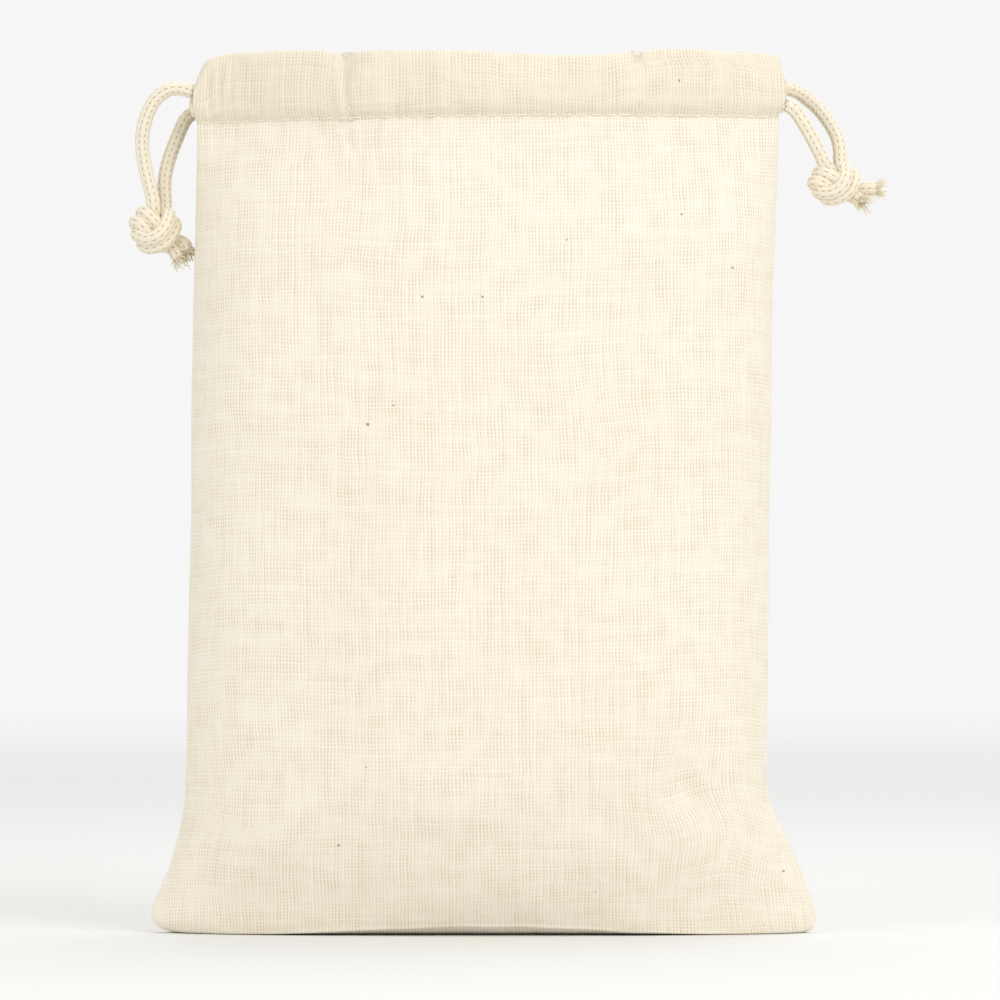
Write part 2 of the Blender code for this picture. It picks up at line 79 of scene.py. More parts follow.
# How finely each piece is drawn
PANEL_COLUMNS = 210
CASING_STATIONS = 270
STRAND_STEP = 0.00042
STRAND_SIDES = 48
HELD_STEP = 0.0008
HELD_SIDES = 24
HELD_STATIONS = 24
TURN_STEP = 15  # degrees
ROLL_STEPS = 2
CREST_STEPS = 8
COURSE_STEPS = 12
TINY = 1e-14  # below this a direction has no length

# Unevenness of the cloth: how many ripples, their longest and shortest, and their lift
Ripples = namedtuple("Ripples", "count longest shortest lift")
PANEL_RIPPLES = Ripples(16, 0.110, 0.022, 0.00075)
FOOT_RIPPLES = Ripples(8, 0.060, 0.018, 0.0009)
CASING_RIPPLES = Ripples(12, 0.050, 0.012, 0.0005)
FOOT_HEIGHT = 0.010
FOOT_SPREAD = 0.012
FLOOR_CALM = 0.005  # the relief fades out this near the floor
SEAM_CALM = 0.06  # over this share of the way round from the side seam
STITCH_CALM = 0.004  # and this near the stitch line, where a fifth of it stays
CASING_SPAN = 0.17

# The cloth is drawn up along the stitch line, over these lengths
PUCKER_LENGTHS = (0.0083, 0.0117, 0.0171, 0.0260, 0.0440)
PUCKER_LIFT = 0.00022
PUCKER_REACH_DOWN = 0.010
PUCKER_REACH_UP = 0.005

# Gathers below the stitch line and loose pleats above it, each between two values
GATHERS = 34
GATHER_PLACES = (-0.155, 0.160)
GATHER_LENGTHS = (0.012, 0.075)
GATHER_WIDTHS = (0.0030, 0.0080)
GATHER_LIFTS = (-0.0008, 0.0006)
GATHER_DRIFTS = (-0.010, 0.010)
PLEATS = 46
PLEAT_PLACES = (-0.158, 0.162)
PLEAT_LIFTS = (-0.00065, 0.0005)
PLEAT_STARTS = (-0.2, 0.5)
PLEAT_DRIFTS = (-0.003, 0.003)
PLEAT_WIDTHS = (0.002, 0.006)
PLEAT_SPAN = 0.8
PLEAT_ENDS = 0.15
FOLD_END = 0.35  # a fold's lift at its two ends, as a share of its lift in the middle

# Rows of cloth that stand hidden inside the casing, above the stitch line
HIDDEN_RISES = (0.0042, 0.0021)
INNER_FLOOR_GAP = 0.0002
BACK_CUT = 0.9  # the back panel is cut this far along the cloth from the front one

# The weave: threads counted in the photograph lie about 2 mm apart. stretch draws each yarn's
# thick and thin places out along it, height and over set how its threads lie over the others,
# and uneven is how much its thickness varies.
Threads = namedtuple("Threads", "axis pitch stretch height over uneven")
WARP = Threads("X", 0.00196, (0.8 / 0.00196, 22.0, 1.0), 1.0, 0.30, 0.55)
WEFT = Threads("Y", 0.00215, (20.0, 0.8 / 0.00215, 1.0), 0.74, -0.25, 0.35)
YARN_WANDER = 1.6
WEAVE_DRIFT = 0.0030

# The scale of each uneven pattern is one over its size on the cloth, in metres
DRIFT_SCALE = 38.0  # the threads wander over 26 mm
PATCH_SCALE = 75.0  # looser patches, 13 mm across
BROAD_SCALE = 9.0  # yarn of another shade, 110 mm
SEED_SCALE = 62.0  # room for one bit of seed in every 16 mm
CORD_SCALE = 160.0  # the cord's uneven yarn, 6 mm
THREAD_SCALE = 700.0  # spun thread, 1.4 mm
SEED_HEX = "#7A5E3E"

# The knitted cord: seven columns of stitches round it, one stitch every 3.8 mm
WALES = 7
STITCH_PITCH = 0.0038
STITCH_DEPTH = 0.00085
STITCH_SLOPE = 0.9  # stitches that a leg of a V climbs from its foot to the next column
LOBE_SHARE, LOBE_CROWN = 0.54, 0.7  # a column's rounding: its share of the relief, its power
LEG_SHARE, LEG_CROWN = 0.46, 0.6  # the same for a V's leg
YARN_PROUD = 0.00015
YARN_TWIST = 0.0006
END_ROUNDING = 0.0006
START_ACROSS = (0.31, 0.87, 0.38)  # no cord or thread starts in this direction

# The open end of a cord: rings that go back inside it, as a step along the cord, a share of
# its radius, and a place on its pattern
Ring = namedtuple("Ring", "step radius length")
OPEN_END = [
    Ring(0.0002, 0.82, 0.0005),
    Ring(-0.0004, 0.62, 0.001),
    Ring(-0.0030, 0.50, 0.003),
]

# Loose yarns at a cut end
FRAY_YARNS = 64
FRAY_POINTS = 12
FRAY_BACK = 0.0015
FRAY_RADII = (0.00036, 0.00020)
FRAY_REACHES = (0.0025, 0.0068)
FRAY_SPREADS = (0.10, 0.75)
FRAY_CURL = 0.0007
FRAY_SIDES = 5

# Sewing: 8.5 mm from one stitch to the next, of which 5.6 mm of thread shows
SEWN_ENDS = 0.985
SEWN_PLACES = 2400
SEWN_APART = 0.0085
SEWN_SHOWN = 0.0056
SEWN_POINTS = 9
SEWN_CLEAR = 0.0006
SEWN_CROWN = 0.0012
SEWN_HEIGHT = 0.0005
SEWN_RADIUS = 0.00040
SEWN_SIDES = 6

Section = namedtuple("Section", "height left right depth square lip rows")
SECTIONS = [
    Section(0.922, 0.811, 0.836, 0.82, 2.2, 1.0, 8),
    Section(0.895, 0.813, 0.836, 0.84, 2.2, 0.75, 10),
    Section(0.850, 0.816, 0.834, 0.88, 2.2, 0.35, 10),
    Section(0.790, 0.820, 0.829, 0.92, 2.3, 0.0, 14),
    Section(0.700, 0.826, 0.822, 0.96, 2.3, 0.0, 15),
    Section(0.600, 0.829, 0.819, 0.99, 2.4, 0.0, 17),
    Section(0.490, 0.831, 0.814, 1.00, 2.4, 0.0, 17),
    Section(0.380, 0.837, 0.811, 1.00, 2.4, 0.0, 17),
    Section(0.270, 0.842, 0.808, 0.98, 2.3, 0.0, 12),
    Section(0.200, 0.845, 0.805, 0.95, 2.2, 0.0, 9),
    Section(0.150, 0.850, 0.814, 0.90, 2.1, 0.0, 8),
    Section(0.108, 0.870, 0.862, 0.83, 2.0, 0.0, 7),
    Section(0.075, 0.894, 0.898, 0.75, 1.9, 0.0, 7),
    Section(0.042, 0.928, 0.932, 0.65, 1.7, 0.0, 6),
    Section(0.018, 0.945, 0.945, 0.56, 1.7, 0.0, 5),
    Section(0.005, 0.920, 0.938, 0.50, 1.8, 0.0, 4),
    Section(0.000, 0.880, 0.915, 0.46, 1.9, 0.0, 6),
    Section(0.000, 0.865, 0.900, 0.22, 1.9, 0.0, 6),
    Section(0.000, 0.860, 0.895, 0.00, 1.9, 0.0, 0),
]

Dent = namedtuple("Dent", "across up wide tall lean press")
FRONT_DENTS = [
    Dent(-0.62, 0.74, 0.16, 0.17, 0.10, 0.020),
    Dent(0.48, 0.79, 0.18, 0.13, -0.25, 0.016),
    Dent(-0.20, 0.52, 0.22, 0.20, 0.15, -0.012),
    Dent(0.52, 0.47, 0.17, 0.16, 0.20, 0.014),
    Dent(0.66, 0.15, 0.12, 0.10, 0.80, 0.024),
    Dent(-0.55, 0.20, 0.20, 0.10, -0.45, 0.016),
    Dent(0.05, 0.12, 0.28, 0.07, 0.00, 0.014),
]
BACK_DENTS = [
    Dent(0.40, 0.72, 0.17, 0.16, -0.15, 0.020),
    Dent(-0.45, 0.60, 0.20, 0.18, 0.20, 0.014),
    Dent(0.10, 0.35, 0.24, 0.18, 0.10, -0.012),
    Dent(-0.60, 0.16, 0.14, 0.10, 0.70, 0.022),
    Dent(0.55, 0.18, 0.18, 0.10, -0.50, 0.016),
]

# Soft folds of a panel, each along a line from one place (x, z) to another. width is how far
# it spreads to either side, and lift is outwards.
Fold = namedtuple("Fold", "x_from z_from x_to z_to width lift")
FRONT_FOLDS = [
    Fold(-0.078, 0.450, -0.060, 0.350, 0.020, -0.0020),
    Fold(-0.040, 0.455, -0.046, 0.385, 0.012, 0.0012),
    Fold(0.060, 0.352, 0.105, 0.282, 0.018, -0.0018),
    Fold(0.020, 0.330, 0.075, 0.260, 0.014, 0.0010),
    Fold(-0.165, 0.274, 0.060, 0.271, 0.0030, -0.0005),
    Fold(0.135, 0.285, 0.162, 0.279, 0.0045, -0.0012),
    Fold(0.098, 0.090, 0.116, 0.046, 0.0050, 0.0015),
    Fold(0.112, 0.095, 0.136, 0.048, 0.0065, -0.0018),
    Fold(0.134, 0.104, 0.156, 0.054, 0.0050, 0.0015),
    Fold(0.148, 0.088, 0.172, 0.060, 0.0040, -0.0018),
    Fold(0.060, 0.075, 0.100, 0.036, 0.0090, -0.0012),
    Fold(-0.168, 0.030, -0.115, 0.125, 0.0120, -0.0018),
    Fold(-0.150, 0.020, -0.085, 0.085, 0.0090, 0.0012),
    Fold(-0.060, 0.055, 0.040, 0.048, 0.0110, -0.0012),
    Fold(-0.080, 0.461, -0.070, 0.432, 0.0022, -0.0013),
    Fold(-0.085, 0.461, -0.076, 0.440, 0.0022, 0.0009),
    Fold(0.086, 0.461, 0.094, 0.425, 0.0060, -0.0010),
]
BACK_FOLDS = [
    Fold(0.070, 0.452, 0.055, 0.340, 0.018, -0.0020),
    Fold(-0.050, 0.400, -0.090, 0.300, 0.020, -0.0016),
    Fold(-0.010, 0.330, 0.045, 0.240, 0.016, 0.0012),
    Fold(-0.160, 0.250, 0.030, 0.254, 0.0030, -0.0005),
    Fold(-0.118, 0.100, -0.142, 0.046, 0.0060, -0.0018),
    Fold(-0.100, 0.092, -0.120, 0.044, 0.0050, 0.0014),
    Fold(0.165, 0.030, 0.112, 0.120, 0.0110, -0.0018),
    Fold(0.060, 0.060, -0.030, 0.050, 0.0110, -0.0012),
    Fold(-0.030, 0.461, -0.036, 0.425, 0.0030, -0.0012),
]

# The fold along the mouth, from the left end (-1) to the right end (1).
Crest = namedtuple("Crest", "across drop pinch")
CRESTS = [
    Crest(-1.00, 0.33, 0.00),
    Crest(-0.98, 0.13, -0.05),
    Crest(-0.95, 0.02, -0.10),
    Crest(-0.87, -0.04, 0.16),
    Crest(-0.78, -0.04, -0.06),
    Crest(-0.60, -0.03, 0.08),
    Crest(-0.50, 0.02, 0.34),
    Crest(-0.40, 0.01, -0.08),
    Crest(-0.10, 0.02, 0.06),
    Crest(0.20, 0.09, 0.20),
    Crest(0.36, 0.10, 0.02),
    Crest(0.50, 0.05, 0.38),
    Crest(0.62, 0.00, -0.10),
    Crest(0.85, 0.02, 0.14),
    Crest(1.00, 0.07, 0.00),
]

# A casing's outer half, from its stitched edge to the fold: how high above the stitch line
# and how far out from the middle of the tunnel, in millimetres.
Roll = namedtuple("Roll", "up out")
ROLL = [
    Roll(-1.3, 0.15),
    Roll(-0.4, 0.85),
    Roll(0.5, 1.3),
    Roll(1.8, 2.2),
    Roll(3.8, 3.9),
    Roll(6.8, 5.4),
    Roll(10.0, 5.95),
    Roll(12.3, 5.9),
    Roll(15.0, 6.1),
    Roll(18.0, 6.1),
    Roll(22.0, 5.5),
    Roll(27.0, 4.8),
    Roll(31.5, 3.7),
    Roll(35.0, 2.5),
    Roll(37.2, 1.3),
    Roll(38.0, 0.0),
]

# Pleats of a casing: where each crosses the fold and the stitch line, how wide it is and how
# far it lifts, and the heights between which it runs, as shares of the casing's height.
Pleat = namedtuple("Pleat", "x_top x_foot width lift low high")
FRONT_PLEATS = [
    Pleat(-0.0825, -0.0785, 0.0020, 0.0008, -0.2, 1.2),
    Pleat(-0.0790, -0.0735, 0.0016, -0.0012, -0.2, 1.2),
    Pleat(-0.1540, -0.1530, 0.0018, -0.0011, 0.1, 0.9),
    Pleat(-0.1475, -0.1465, 0.0016, -0.0009, 0.1, 0.9),
    Pleat(-0.1415, -0.1400, 0.0016, -0.0009, 0.2, 0.9),
    Pleat(-0.1290, -0.1290, 0.0022, -0.0007, 0.1, 0.8),
    Pleat(0.0875, 0.0820, 0.0022, -0.0028, 0.72, 1.2),
    Pleat(0.0910, 0.0860, 0.0024, 0.0012, 0.66, 1.2),
    Pleat(0.0400, 0.0440, 0.0035, -0.0007, 0.2, 1.1),
    Pleat(-0.0250, -0.0230, 0.0040, 0.0006, 0.0, 1.1),
    Pleat(0.1350, 0.1310, 0.0050, 0.0008, 0.2, 1.1),
]
BACK_PLEATS = [
    Pleat(0.0620, 0.0580, 0.0020, -0.0018, -0.2, 1.2),
    Pleat(0.0660, 0.0620, 0.0020, 0.0012, -0.2, 1.2),
    Pleat(-0.0760, -0.0720, 0.0022, -0.0026, 0.70, 1.2),
    Pleat(-0.1500, -0.1480, 0.0018, -0.0010, 0.1, 0.9),
    Pleat(0.1480, 0.1470, 0.0018, -0.0010, 0.1, 0.9),
    Pleat(-0.0100, -0.0060, 0.0040, -0.0007, 0.0, 1.1),
]

Flare = namedtuple("Flare", "rise left right")
FLARES = [
    Flare(0.00, 0.00, 0.00),
    Flare(0.14, 0.02, 0.03),
    Flare(0.28, 0.04, 0.09),
    Flare(0.50, 0.05, 0.10),
    Flare(0.80, 0.03, 0.03),
    Flare(1.00, 0.00, 0.00),
]

Bend = namedtuple("Bend", "out back up")
LEFT_FRONT_STRAND = [
    Bend(0.00, 0.00, 0.00),
    Bend(0.60, 0.00, 0.18),
    Bend(1.30, 0.05, 0.28),
    Bend(2.00, 0.13, 0.10),
    Bend(2.70, 0.27, -0.45),
    Bend(3.25, 0.43, -1.35),
    Bend(3.60, 0.58, -2.45),
    Bend(3.72, 0.72, -3.60),
    Bend(3.60, 0.84, -4.75),
    Bend(3.34, 0.92, -6.00),
    Bend(3.06, 0.96, -7.10),
    Bend(2.92, 0.98, -7.90),
]
LEFT_BACK_STRAND = [
    Bend(0.00, 0.00, 0.00),
    Bend(0.25, 0.00, 0.02),
    Bend(0.72, -0.06, -0.42),
    Bend(1.12, -0.18, -1.25),
    Bend(1.58, -0.36, -2.42),
    Bend(1.94, -0.56, -3.52),
    Bend(2.16, -0.74, -4.65),
    Bend(2.17, -0.90, -5.75),
    Bend(2.12, -1.00, -6.50),
]
RIGHT_FRONT_STRAND = [
    Bend(0.00, 0.00, 0.00),
    Bend(0.30, 0.00, -0.05),
    Bend(0.75, 0.02, -0.42),
    Bend(1.18, 0.06, -1.02),
    Bend(1.68, 0.20, -1.85),
    Bend(2.15, 0.40, -2.70),
    Bend(2.52, 0.58, -3.40),
    Bend(2.72, 0.68, -3.85),
]
RIGHT_BACK_STRAND = [
    Bend(0.00, 0.00, 0.00),
    Bend(0.30, 0.01, 0.00),
    Bend(0.62, 0.18, -0.08),
    Bend(1.08, 0.42, -0.28),
    Bend(1.75, 0.52, -0.76),
    Bend(2.60, 0.30, -1.55),
    Bend(3.30, -0.20, -2.55),
    Bend(3.80, -0.66, -3.55),
    Bend(3.97, -0.98, -4.45),
    Bend(3.98, -1.10, -5.05),
]

# The overhand knot's course, in cord diameters from its middle, as the front shows it when its
# ends run up and down. Its first turns go down through the middle, the next come round the
# front from lower left to upper right, then across the back, and the last cross the front
# from upper left and pass under the others. The two strands lie side by side all the way.
Turn = namedtuple("Turn", "right up near")
KNOT_COURSE = [
    Turn(0.22, 1.05, 0.10),
    Turn(0.25, 0.35, -0.25),
    Turn(-0.20, -0.45, -0.35),
    Turn(-0.75, -0.78, -0.10),
    Turn(-0.95, -0.80, 0.45),
    Turn(-0.28, -0.98, 0.88),
    Turn(0.52, -0.65, 1.08),
    Turn(1.00, 0.10, 0.85),
    Turn(1.10, 0.85, 0.15),
    Turn(0.65, 0.95, -0.80),
    Turn(-0.40, 0.75, -1.10),
    Turn(-1.10, 0.65, -0.50),
    Turn(-1.22, 0.75, 0.20),
    Turn(-0.88, 0.72, 0.75),
    Turn(-0.15, 0.08, 0.72),
    Turn(0.40, -0.50, 0.35),
    Turn(0.85, -0.72, -0.25),
]
ENTRY_PAIRS = [(0.90, 0.0, -0.30), (0.90, 0.10, -0.20), (0.60, 0.60, 0.40)]

Knot = namedtuple("Knot", "right back up lean tall")
LEFT_KNOT = Knot(0.10, 0.50, -1.80, -6, 1.0)
RIGHT_KNOT = Knot(0.86, 0.66, -1.67, 8, 0.82)

Tail = namedtuple("Tail", "right up near")
LEFT_TAILS = [
    [Tail(1.25, -1.10, -0.10), Tail(1.65, -1.50, 0.10), Tail(1.85, -1.82, 0.20)],
    [Tail(1.45, -0.55, -0.35), Tail(2.10, -0.75, -0.20), Tail(2.40, -1.20, -0.10)],
]
RIGHT_TAILS = [
    [Tail(1.05, -1.15, 0.00), Tail(1.40, -1.50, 0.35), Tail(1.60, -1.80, 0.60)],
    [Tail(1.50, -0.70, -0.30), Tail(2.20, -0.80, -0.20), Tail(2.90, -0.92, -0.10)],
]

# Where the weave lies askew because the cloth is twisted: the place, how far it spreads, and
# the turn in degrees.
Skew = namedtuple("Skew", "x z spread turn")
FRONT_SKEWS = [
    Skew(0.118, 0.070, 0.026, 22.0),
    Skew(0.150, 0.045, 0.022, -20.0),
    Skew(-0.150, 0.060, 0.030, -12.0),
    Skew(0.060, 0.300, 0.045, 6.0),
    Skew(-0.060, 0.390, 0.040, -5.0),
]
BACK_SKEWS = [
    Skew(-0.120, 0.070, 0.026, -20.0),
    Skew(0.145, 0.050, 0.026, 16.0),
    Skew(-0.060, 0.330, 0.045, 6.0),
]

# Lines and surfaces


def smooth_through(points, steps):
    """Points along a Catmull-Rom curve through the given rows, steps[i] of them to a span."""
    rows = np.array(points, dtype=float)
    ends = np.vstack([2 * rows[0] - rows[1], rows, 2 * rows[-1] - rows[-2]])
    found = []
    for i in range(len(rows) - 1):
        p0, p1, p2, p3 = ends[i : i + 4]
        for step in range(steps[i]):
            t = step / steps[i]
            bend = 2 * p0 - 5 * p1 + 4 * p2 - p3
            turn = 3 * p1 - p0 - 3 * p2 + p3
            found.append(0.5 * (2 * p1 + (p2 - p0) * t + bend * t**2 + turn * t**3))
    found.append(rows[-1])
    return np.array(found)


def run_length(points):
    """How far along the line each of its points lies."""
    return np.concatenate([[0], np.cumsum(np.linalg.norm(np.diff(points, axis=0), axis=1))])


def evenly_along(points, spacing):
    """The same line as points about one spacing apart."""
    length = run_length(points)
    count = max(2, round(length[-1] / spacing) + 1)
    places = np.linspace(0, length[-1], count)
    return np.stack([np.interp(places, length, points[:, axis]) for axis in range(3)], 1)


def column(rows, name):
    return np.array([getattr(row, name) for row in rows])


def surface_normals(surface):
    """Unit normals of a grid of points that face out of the front panel."""
    facing = np.cross(
        surface[1:, 1:] - surface[:-1, :-1], surface[:-1, 1:] - surface[1:, :-1]
    )
    normals = np.zeros_like(surface)
    for rows in (slice(0, -1), slice(1, None)):
        for columns in (slice(0, -1), slice(1, None)):
            normals[rows, columns] += facing
    size = np.linalg.norm(normals, axis=2, keepdims=True)
    return np.where(size > TINY, normals / np.maximum(size, TINY), (0.0, 0.0, -1.0))


def mouth_line(across, left, right):
    """The mouth's outer line in plan, on the front: a lens with lips at its ends."""
    x = across * np.where(across < 0, left, right) * FLAT_WIDTH / 2
    lens = np.clip(1 - np.abs(across) ** LENS_SQUARE, 0, 1) ** LENS_POINT
    return x, -(SLIT_WIDTH / 2 + (MOUTH_DEPTH - SLIT_WIDTH) / 2 * lens)


def stitch_height(across):
    return SECTIONS[0].height * HEIGHT + across * CASING_LEAN / 2


def waves(places, rng, count, longest, shortest, lift):
    """Soft unevenness over places on the cloth: a sum of long and short ripples."""
    total = np.zeros(places.shape[:-1])
    for _ in range(count):
        length = math.exp(rng.uniform(math.log(shortest), math.log(longest)))
        heading = rng.uniform(0, 2 * math.pi)
        phase = rng.uniform(0, 2 * math.pi)
        way = places[..., 0] * math.cos(heading) + places[..., 1] * math.sin(heading)
        total += np.sin(2 * math.pi * way / length + phase) * length / longest
    return lift * total / math.sqrt(count)


def pucker(x, seed):
    """The cloth drawn up along the stitch line, the same above it and below."""
    rng = np.random.default_rng(seed)
    total = np.zeros_like(x)
    for length in PUCKER_LENGTHS:
        total += np.sin(2 * math.pi * x / length + rng.uniform(0, 2 * math.pi))
    return PUCKER_LIFT * total


def pressed(dents, across, z):
    total = np.zeros_like(z)
    for dent in dents:
        up = z / HEIGHT - dent.up
        aside = across - dent.across - dent.lean * up
        total += dent.press * np.exp(-((aside / dent.wide) ** 2) - (up / dent.tall) ** 2)
    return total * DEPTH


def folded(folds, x, z):
    total = np.zeros_like(x)
    for fold in folds:
        along = np.array([fold.x_to - fold.x_from, fold.z_to - fold.z_from])
        share = (x - fold.x_from) * along[0] + (z - fold.z_from) * along[1]
        share = np.clip(share / along.dot(along), 0, 1)
        x_near = fold.x_from + share * along[0]
        z_near = fold.z_from + share * along[1]
        aside = np.hypot(x - x_near, z - z_near)
        strength = FOLD_END + (1 - FOLD_END) * np.sin(math.pi * share)
        total += fold.lift * strength * np.exp(-((aside / fold.width) ** 2))
    return total


def gathers(rng, count):
    """Short soft folds that hang from the stitch line, where the casing draws the cloth in."""
    stitch = SECTIONS[0].height * HEIGHT
    found = []
    for _ in range(count):
        x = rng.uniform(*GATHER_PLACES)
        low = stitch - rng.uniform(*GATHER_LENGTHS)
        width = rng.uniform(*GATHER_WIDTHS)
        lift = rng.uniform(*GATHER_LIFTS)
        found.append(Fold(x, stitch, x + rng.uniform(*GATHER_DRIFTS), low, width, lift))
    return found


def panel_surface(dents, folds, seed):
    """A panel's outer surface, from inside the casing down to the seam under the base."""
    rng = np.random.default_rng(seed)
    table = smooth_through([row[:6] for row in SECTIONS], [row.rows for row in SECTIONS])
    height, left, right, depth, square, lip = (table[:, i, None] for i in range(6))
    angle = np.linspace(-math.pi / 2, math.pi / 2, PANEL_COLUMNS + 1)[None, :]
    side = np.where(angle < 0, left, right) * FLAT_WIDTH / 2
    x = np.sign(angle) * np.abs(np.sin(angle)) ** (2 / square) * side
    y = -depth * DEPTH / 2 * np.abs(np.cos(angle)) ** (2 / square)
    across = x / side
    lip_x, lip_y = mouth_line(across, left, right)
    y = y + lip * (lip_y - y)
    low = np.clip(1 - height / ARCH_FADE, 0, 1)
    lift_share = np.minimum(1, np.abs(x) / (ARCH_REACH * FLAT_WIDTH / 2))
    arch = BASE_ARCH * (0.5 + 0.5 * np.cos(math.pi * lift_share))
    behind = np.clip(depth / BASE_EDGE_DEPTH, 0, 1) ** ARCH_CLOSING
    z = np.maximum(0, height) * HEIGHT + arch * low * behind + across * CASING_LEAN / 2 * lip
    fade = np.sqrt(np.clip(np.cos(angle), 0, 1)) * np.clip(height / DENT_FADE, 0, 1)
    y = np.minimum(y + pressed(dents, across, z) * fade * (1 - lip), -SEAM_GAP / 2)
    surface = np.stack([x, y, z], axis=2)
    from_stitch = stitch_height(across) - z
    relief = folded(list(folds) + gathers(rng, GATHERS), x, z)
    relief += waves(surface[:, :, [0, 2]], rng, *PANEL_RIPPLES)
    relief *= np.clip(from_stitch / STITCH_CALM, 0, 1) * 0.8 + 0.2
    relief += pucker(x, seed) * np.exp(-np.maximum(0, from_stitch) / PUCKER_REACH_DOWN)
    edge = np.clip((1 - np.abs(angle) / (math.pi / 2)) / SEAM_CALM, 0, 1)
    bumps = waves(surface[:, :, [0, 1]], rng, *FOOT_RIPPLES)
    relief += bumps * np.exp(-(((z - FOOT_HEIGHT) / FOOT_SPREAD) ** 2))
    relief *= edge * np.clip(z / FLOOR_CALM, 0, 1)
    surface = surface + surface_normals(surface) * relief[:, :, None]
    surface[:, :, 1] = np.minimum(surface[:, :, 1], -SEAM_GAP / 2)
    surface[:, :, 2] = np.maximum(surface[:, :, 2], 0)
    hidden = []
    for rise in HIDDEN_RISES:
        row = surface[0].copy()
        row[:, 2] += rise
        hidden.append(row)
    return np.vstack([np.array(hidden), surface])


def casing_station(across):
    """The front casing's middle in plan at the stitch line, and its outward direction."""
    top = SECTIONS[0]
    less = np.maximum(-1.0, across - DIRECTION_STEP)
    more = np.minimum(1.0, across + DIRECTION_STEP)
    here = np.array(mouth_line(across, top.left, top.right))
    before = np.array(mouth_line(less, top.left, top.right))
    after = np.array(mouth_line(more, top.left, top.right))
    along = (after - before) / np.linalg.norm(after - before, axis=0)
    outward = np.array([along[1], -along[0]])
    return here - outward * WALL / 2, outward


def station_places(count):
    """Places along a casing, closer together towards its ends, where it bends most."""
    even = np.linspace(-1.0, 1.0, count)
    return (1 - END_CROWDING) * even + END_CROWDING * np.sin(even * math.pi / 2)


def loose_pleats(rng):
    """Small pleats that the drawstring leaves along a casing."""
    places = rng.uniform(*PLEAT_PLACES, PLEATS)
    lifts = rng.uniform(*PLEAT_LIFTS, PLEATS)
    starts = rng.uniform(*PLEAT_STARTS, PLEATS)
    found = []
    for x, lift, low in zip(places, lifts, starts):
        foot = x + rng.uniform(*PLEAT_DRIFTS)
        found.append(Pleat(x, foot, rng.uniform(*PLEAT_WIDTHS), lift, low, low + PLEAT_SPAN))
    return found


def casing_surface(pleats, seed):
    """A casing's outer surface, from its stitched edge over the fold and down the inside."""
    rng = np.random.default_rng(seed)
    loose = loose_pleats(rng)
    half = smooth_through([(row.up, row.out) for row in ROLL], [ROLL_STEPS] * (len(ROLL) - 1))
    outline = np.vstack([half, half[-2::-1] * (1, -1)]) / 1000
    outside = np.concatenate([np.ones(len(half)), -np.ones(len(half) - 1)])
    across = station_places(CASING_STATIONS)
    middle, outward = casing_station(across)
    crest = smooth_through(CRESTS, [CREST_STEPS] * (len(CRESTS) - 1))
    top = CASING_HEIGHT * (1 - np.interp(across, crest[:, 0], crest[:, 1]))
    pinch = CORD * np.interp(across, crest[:, 0], crest[:, 2])
    above = WALL + CORD / 2 + CORD_PLAY + SEAM_GAP + LEVEL_STEP
    up, out = outline[:, 0][:, None], outline[:, 1][:, None]
    rise = np.clip((up - above) / (CASING_HEIGHT - above), 0, 1)
    w = np.where(up > above, above + rise * (top - above), up)
    share = w / top
    x = np.broadcast_to(middle[0], w.shape)
    n = out - pinch * rise
    for pleat in list(pleats) + loose:
        line = pleat.x_foot + (pleat.x_top - pleat.x_foot) * share
        starting = np.clip((share - pleat.low) / PLEAT_ENDS, 0, 1)
        ending = np.clip((pleat.high - share) / PLEAT_ENDS, 0, 1)
        near = starting * ending * np.exp(-(((x - line) / pleat.width) ** 2))
        n = n + outside[:, None] * pleat.lift * near
        w = w - abs(pleat.lift) / 2 * rise**4 * near
    n = n + pucker(x, seed - 10) * np.exp(-np.maximum(0, w) / PUCKER_REACH_UP)
    spot = np.stack([np.broadcast_to(across * CASING_SPAN, w.shape), w], axis=2)
    ripples = waves(spot, rng, *CASING_RIPPLES) * np.clip(share * 4, 0, 1)
    n = n + outside[:, None] * ripples
    reach = np.clip((np.abs(across) - FLARE_START) / (1 - FLARE_START), 0, 1) ** 2
    rises = column(FLARES, "rise")
    left = np.interp(share, rises, column(FLARES, "left"))
    right = np.interp(share, rises, column(FLARES, "right"))
    flare = np.where(across < 0, left, right) * CASING_HEIGHT * reach * np.sign(across)
    place = middle[:, None, :] + outward[:, None, :] * n[None, :, :]
    return np.stack([place[0] + flare, place[1], stitch_height(across) + w], axis=2)


def held_point(across, to_back, upper):
    """A place on a drawstring inside a casing."""
    middle, _ = casing_station(np.array([across]))
    level = WALL + CORD / 2 + CORD_PLAY + SEAM_GAP + (LEVEL_STEP if upper else 0.0)
    y = -middle[1][0] if to_back else middle[1][0]
    return np.array([middle[0][0], y, stitch_height(across) + level])


def mouth_lead(side):
    """How far a casing's end stands out past its last station, as a step along X."""
    return side * CASING_HEIGHT * max(column(FLARES, "left" if side < 0 else "right"))


def held_course(side, upper_in_front):
    """A drawstring's stretch in both casings, with its half turn from one to the other."""
    places = [-side * across for across in station_places(HELD_STATIONS)]
    front = [held_point(across, False, upper_in_front) for across in places]
    back = [held_point(across, True, not upper_in_front) for across in reversed(places)]
    start, end = front[-1], back[0]
    radius = abs(end[1] - start[1]) / 2
    turn = []
    for angle in np.radians(np.arange(0, 181, TURN_STEP)):
        x = start[0] - side * radius * TURN_FLATNESS * math.sin(angle)
        y = (start[1] + end[1]) / 2 - radius * math.cos(angle)
        turn.append(np.array([x, y, start[2] + (end[2] - start[2]) * angle / math.pi]))
    own = np.array([mouth_lead(side), 0, 0])
    rows = [front[0] + own, *front, *turn, *back, back[-1] + own]
    return evenly_along(np.array(rows), HELD_STEP)


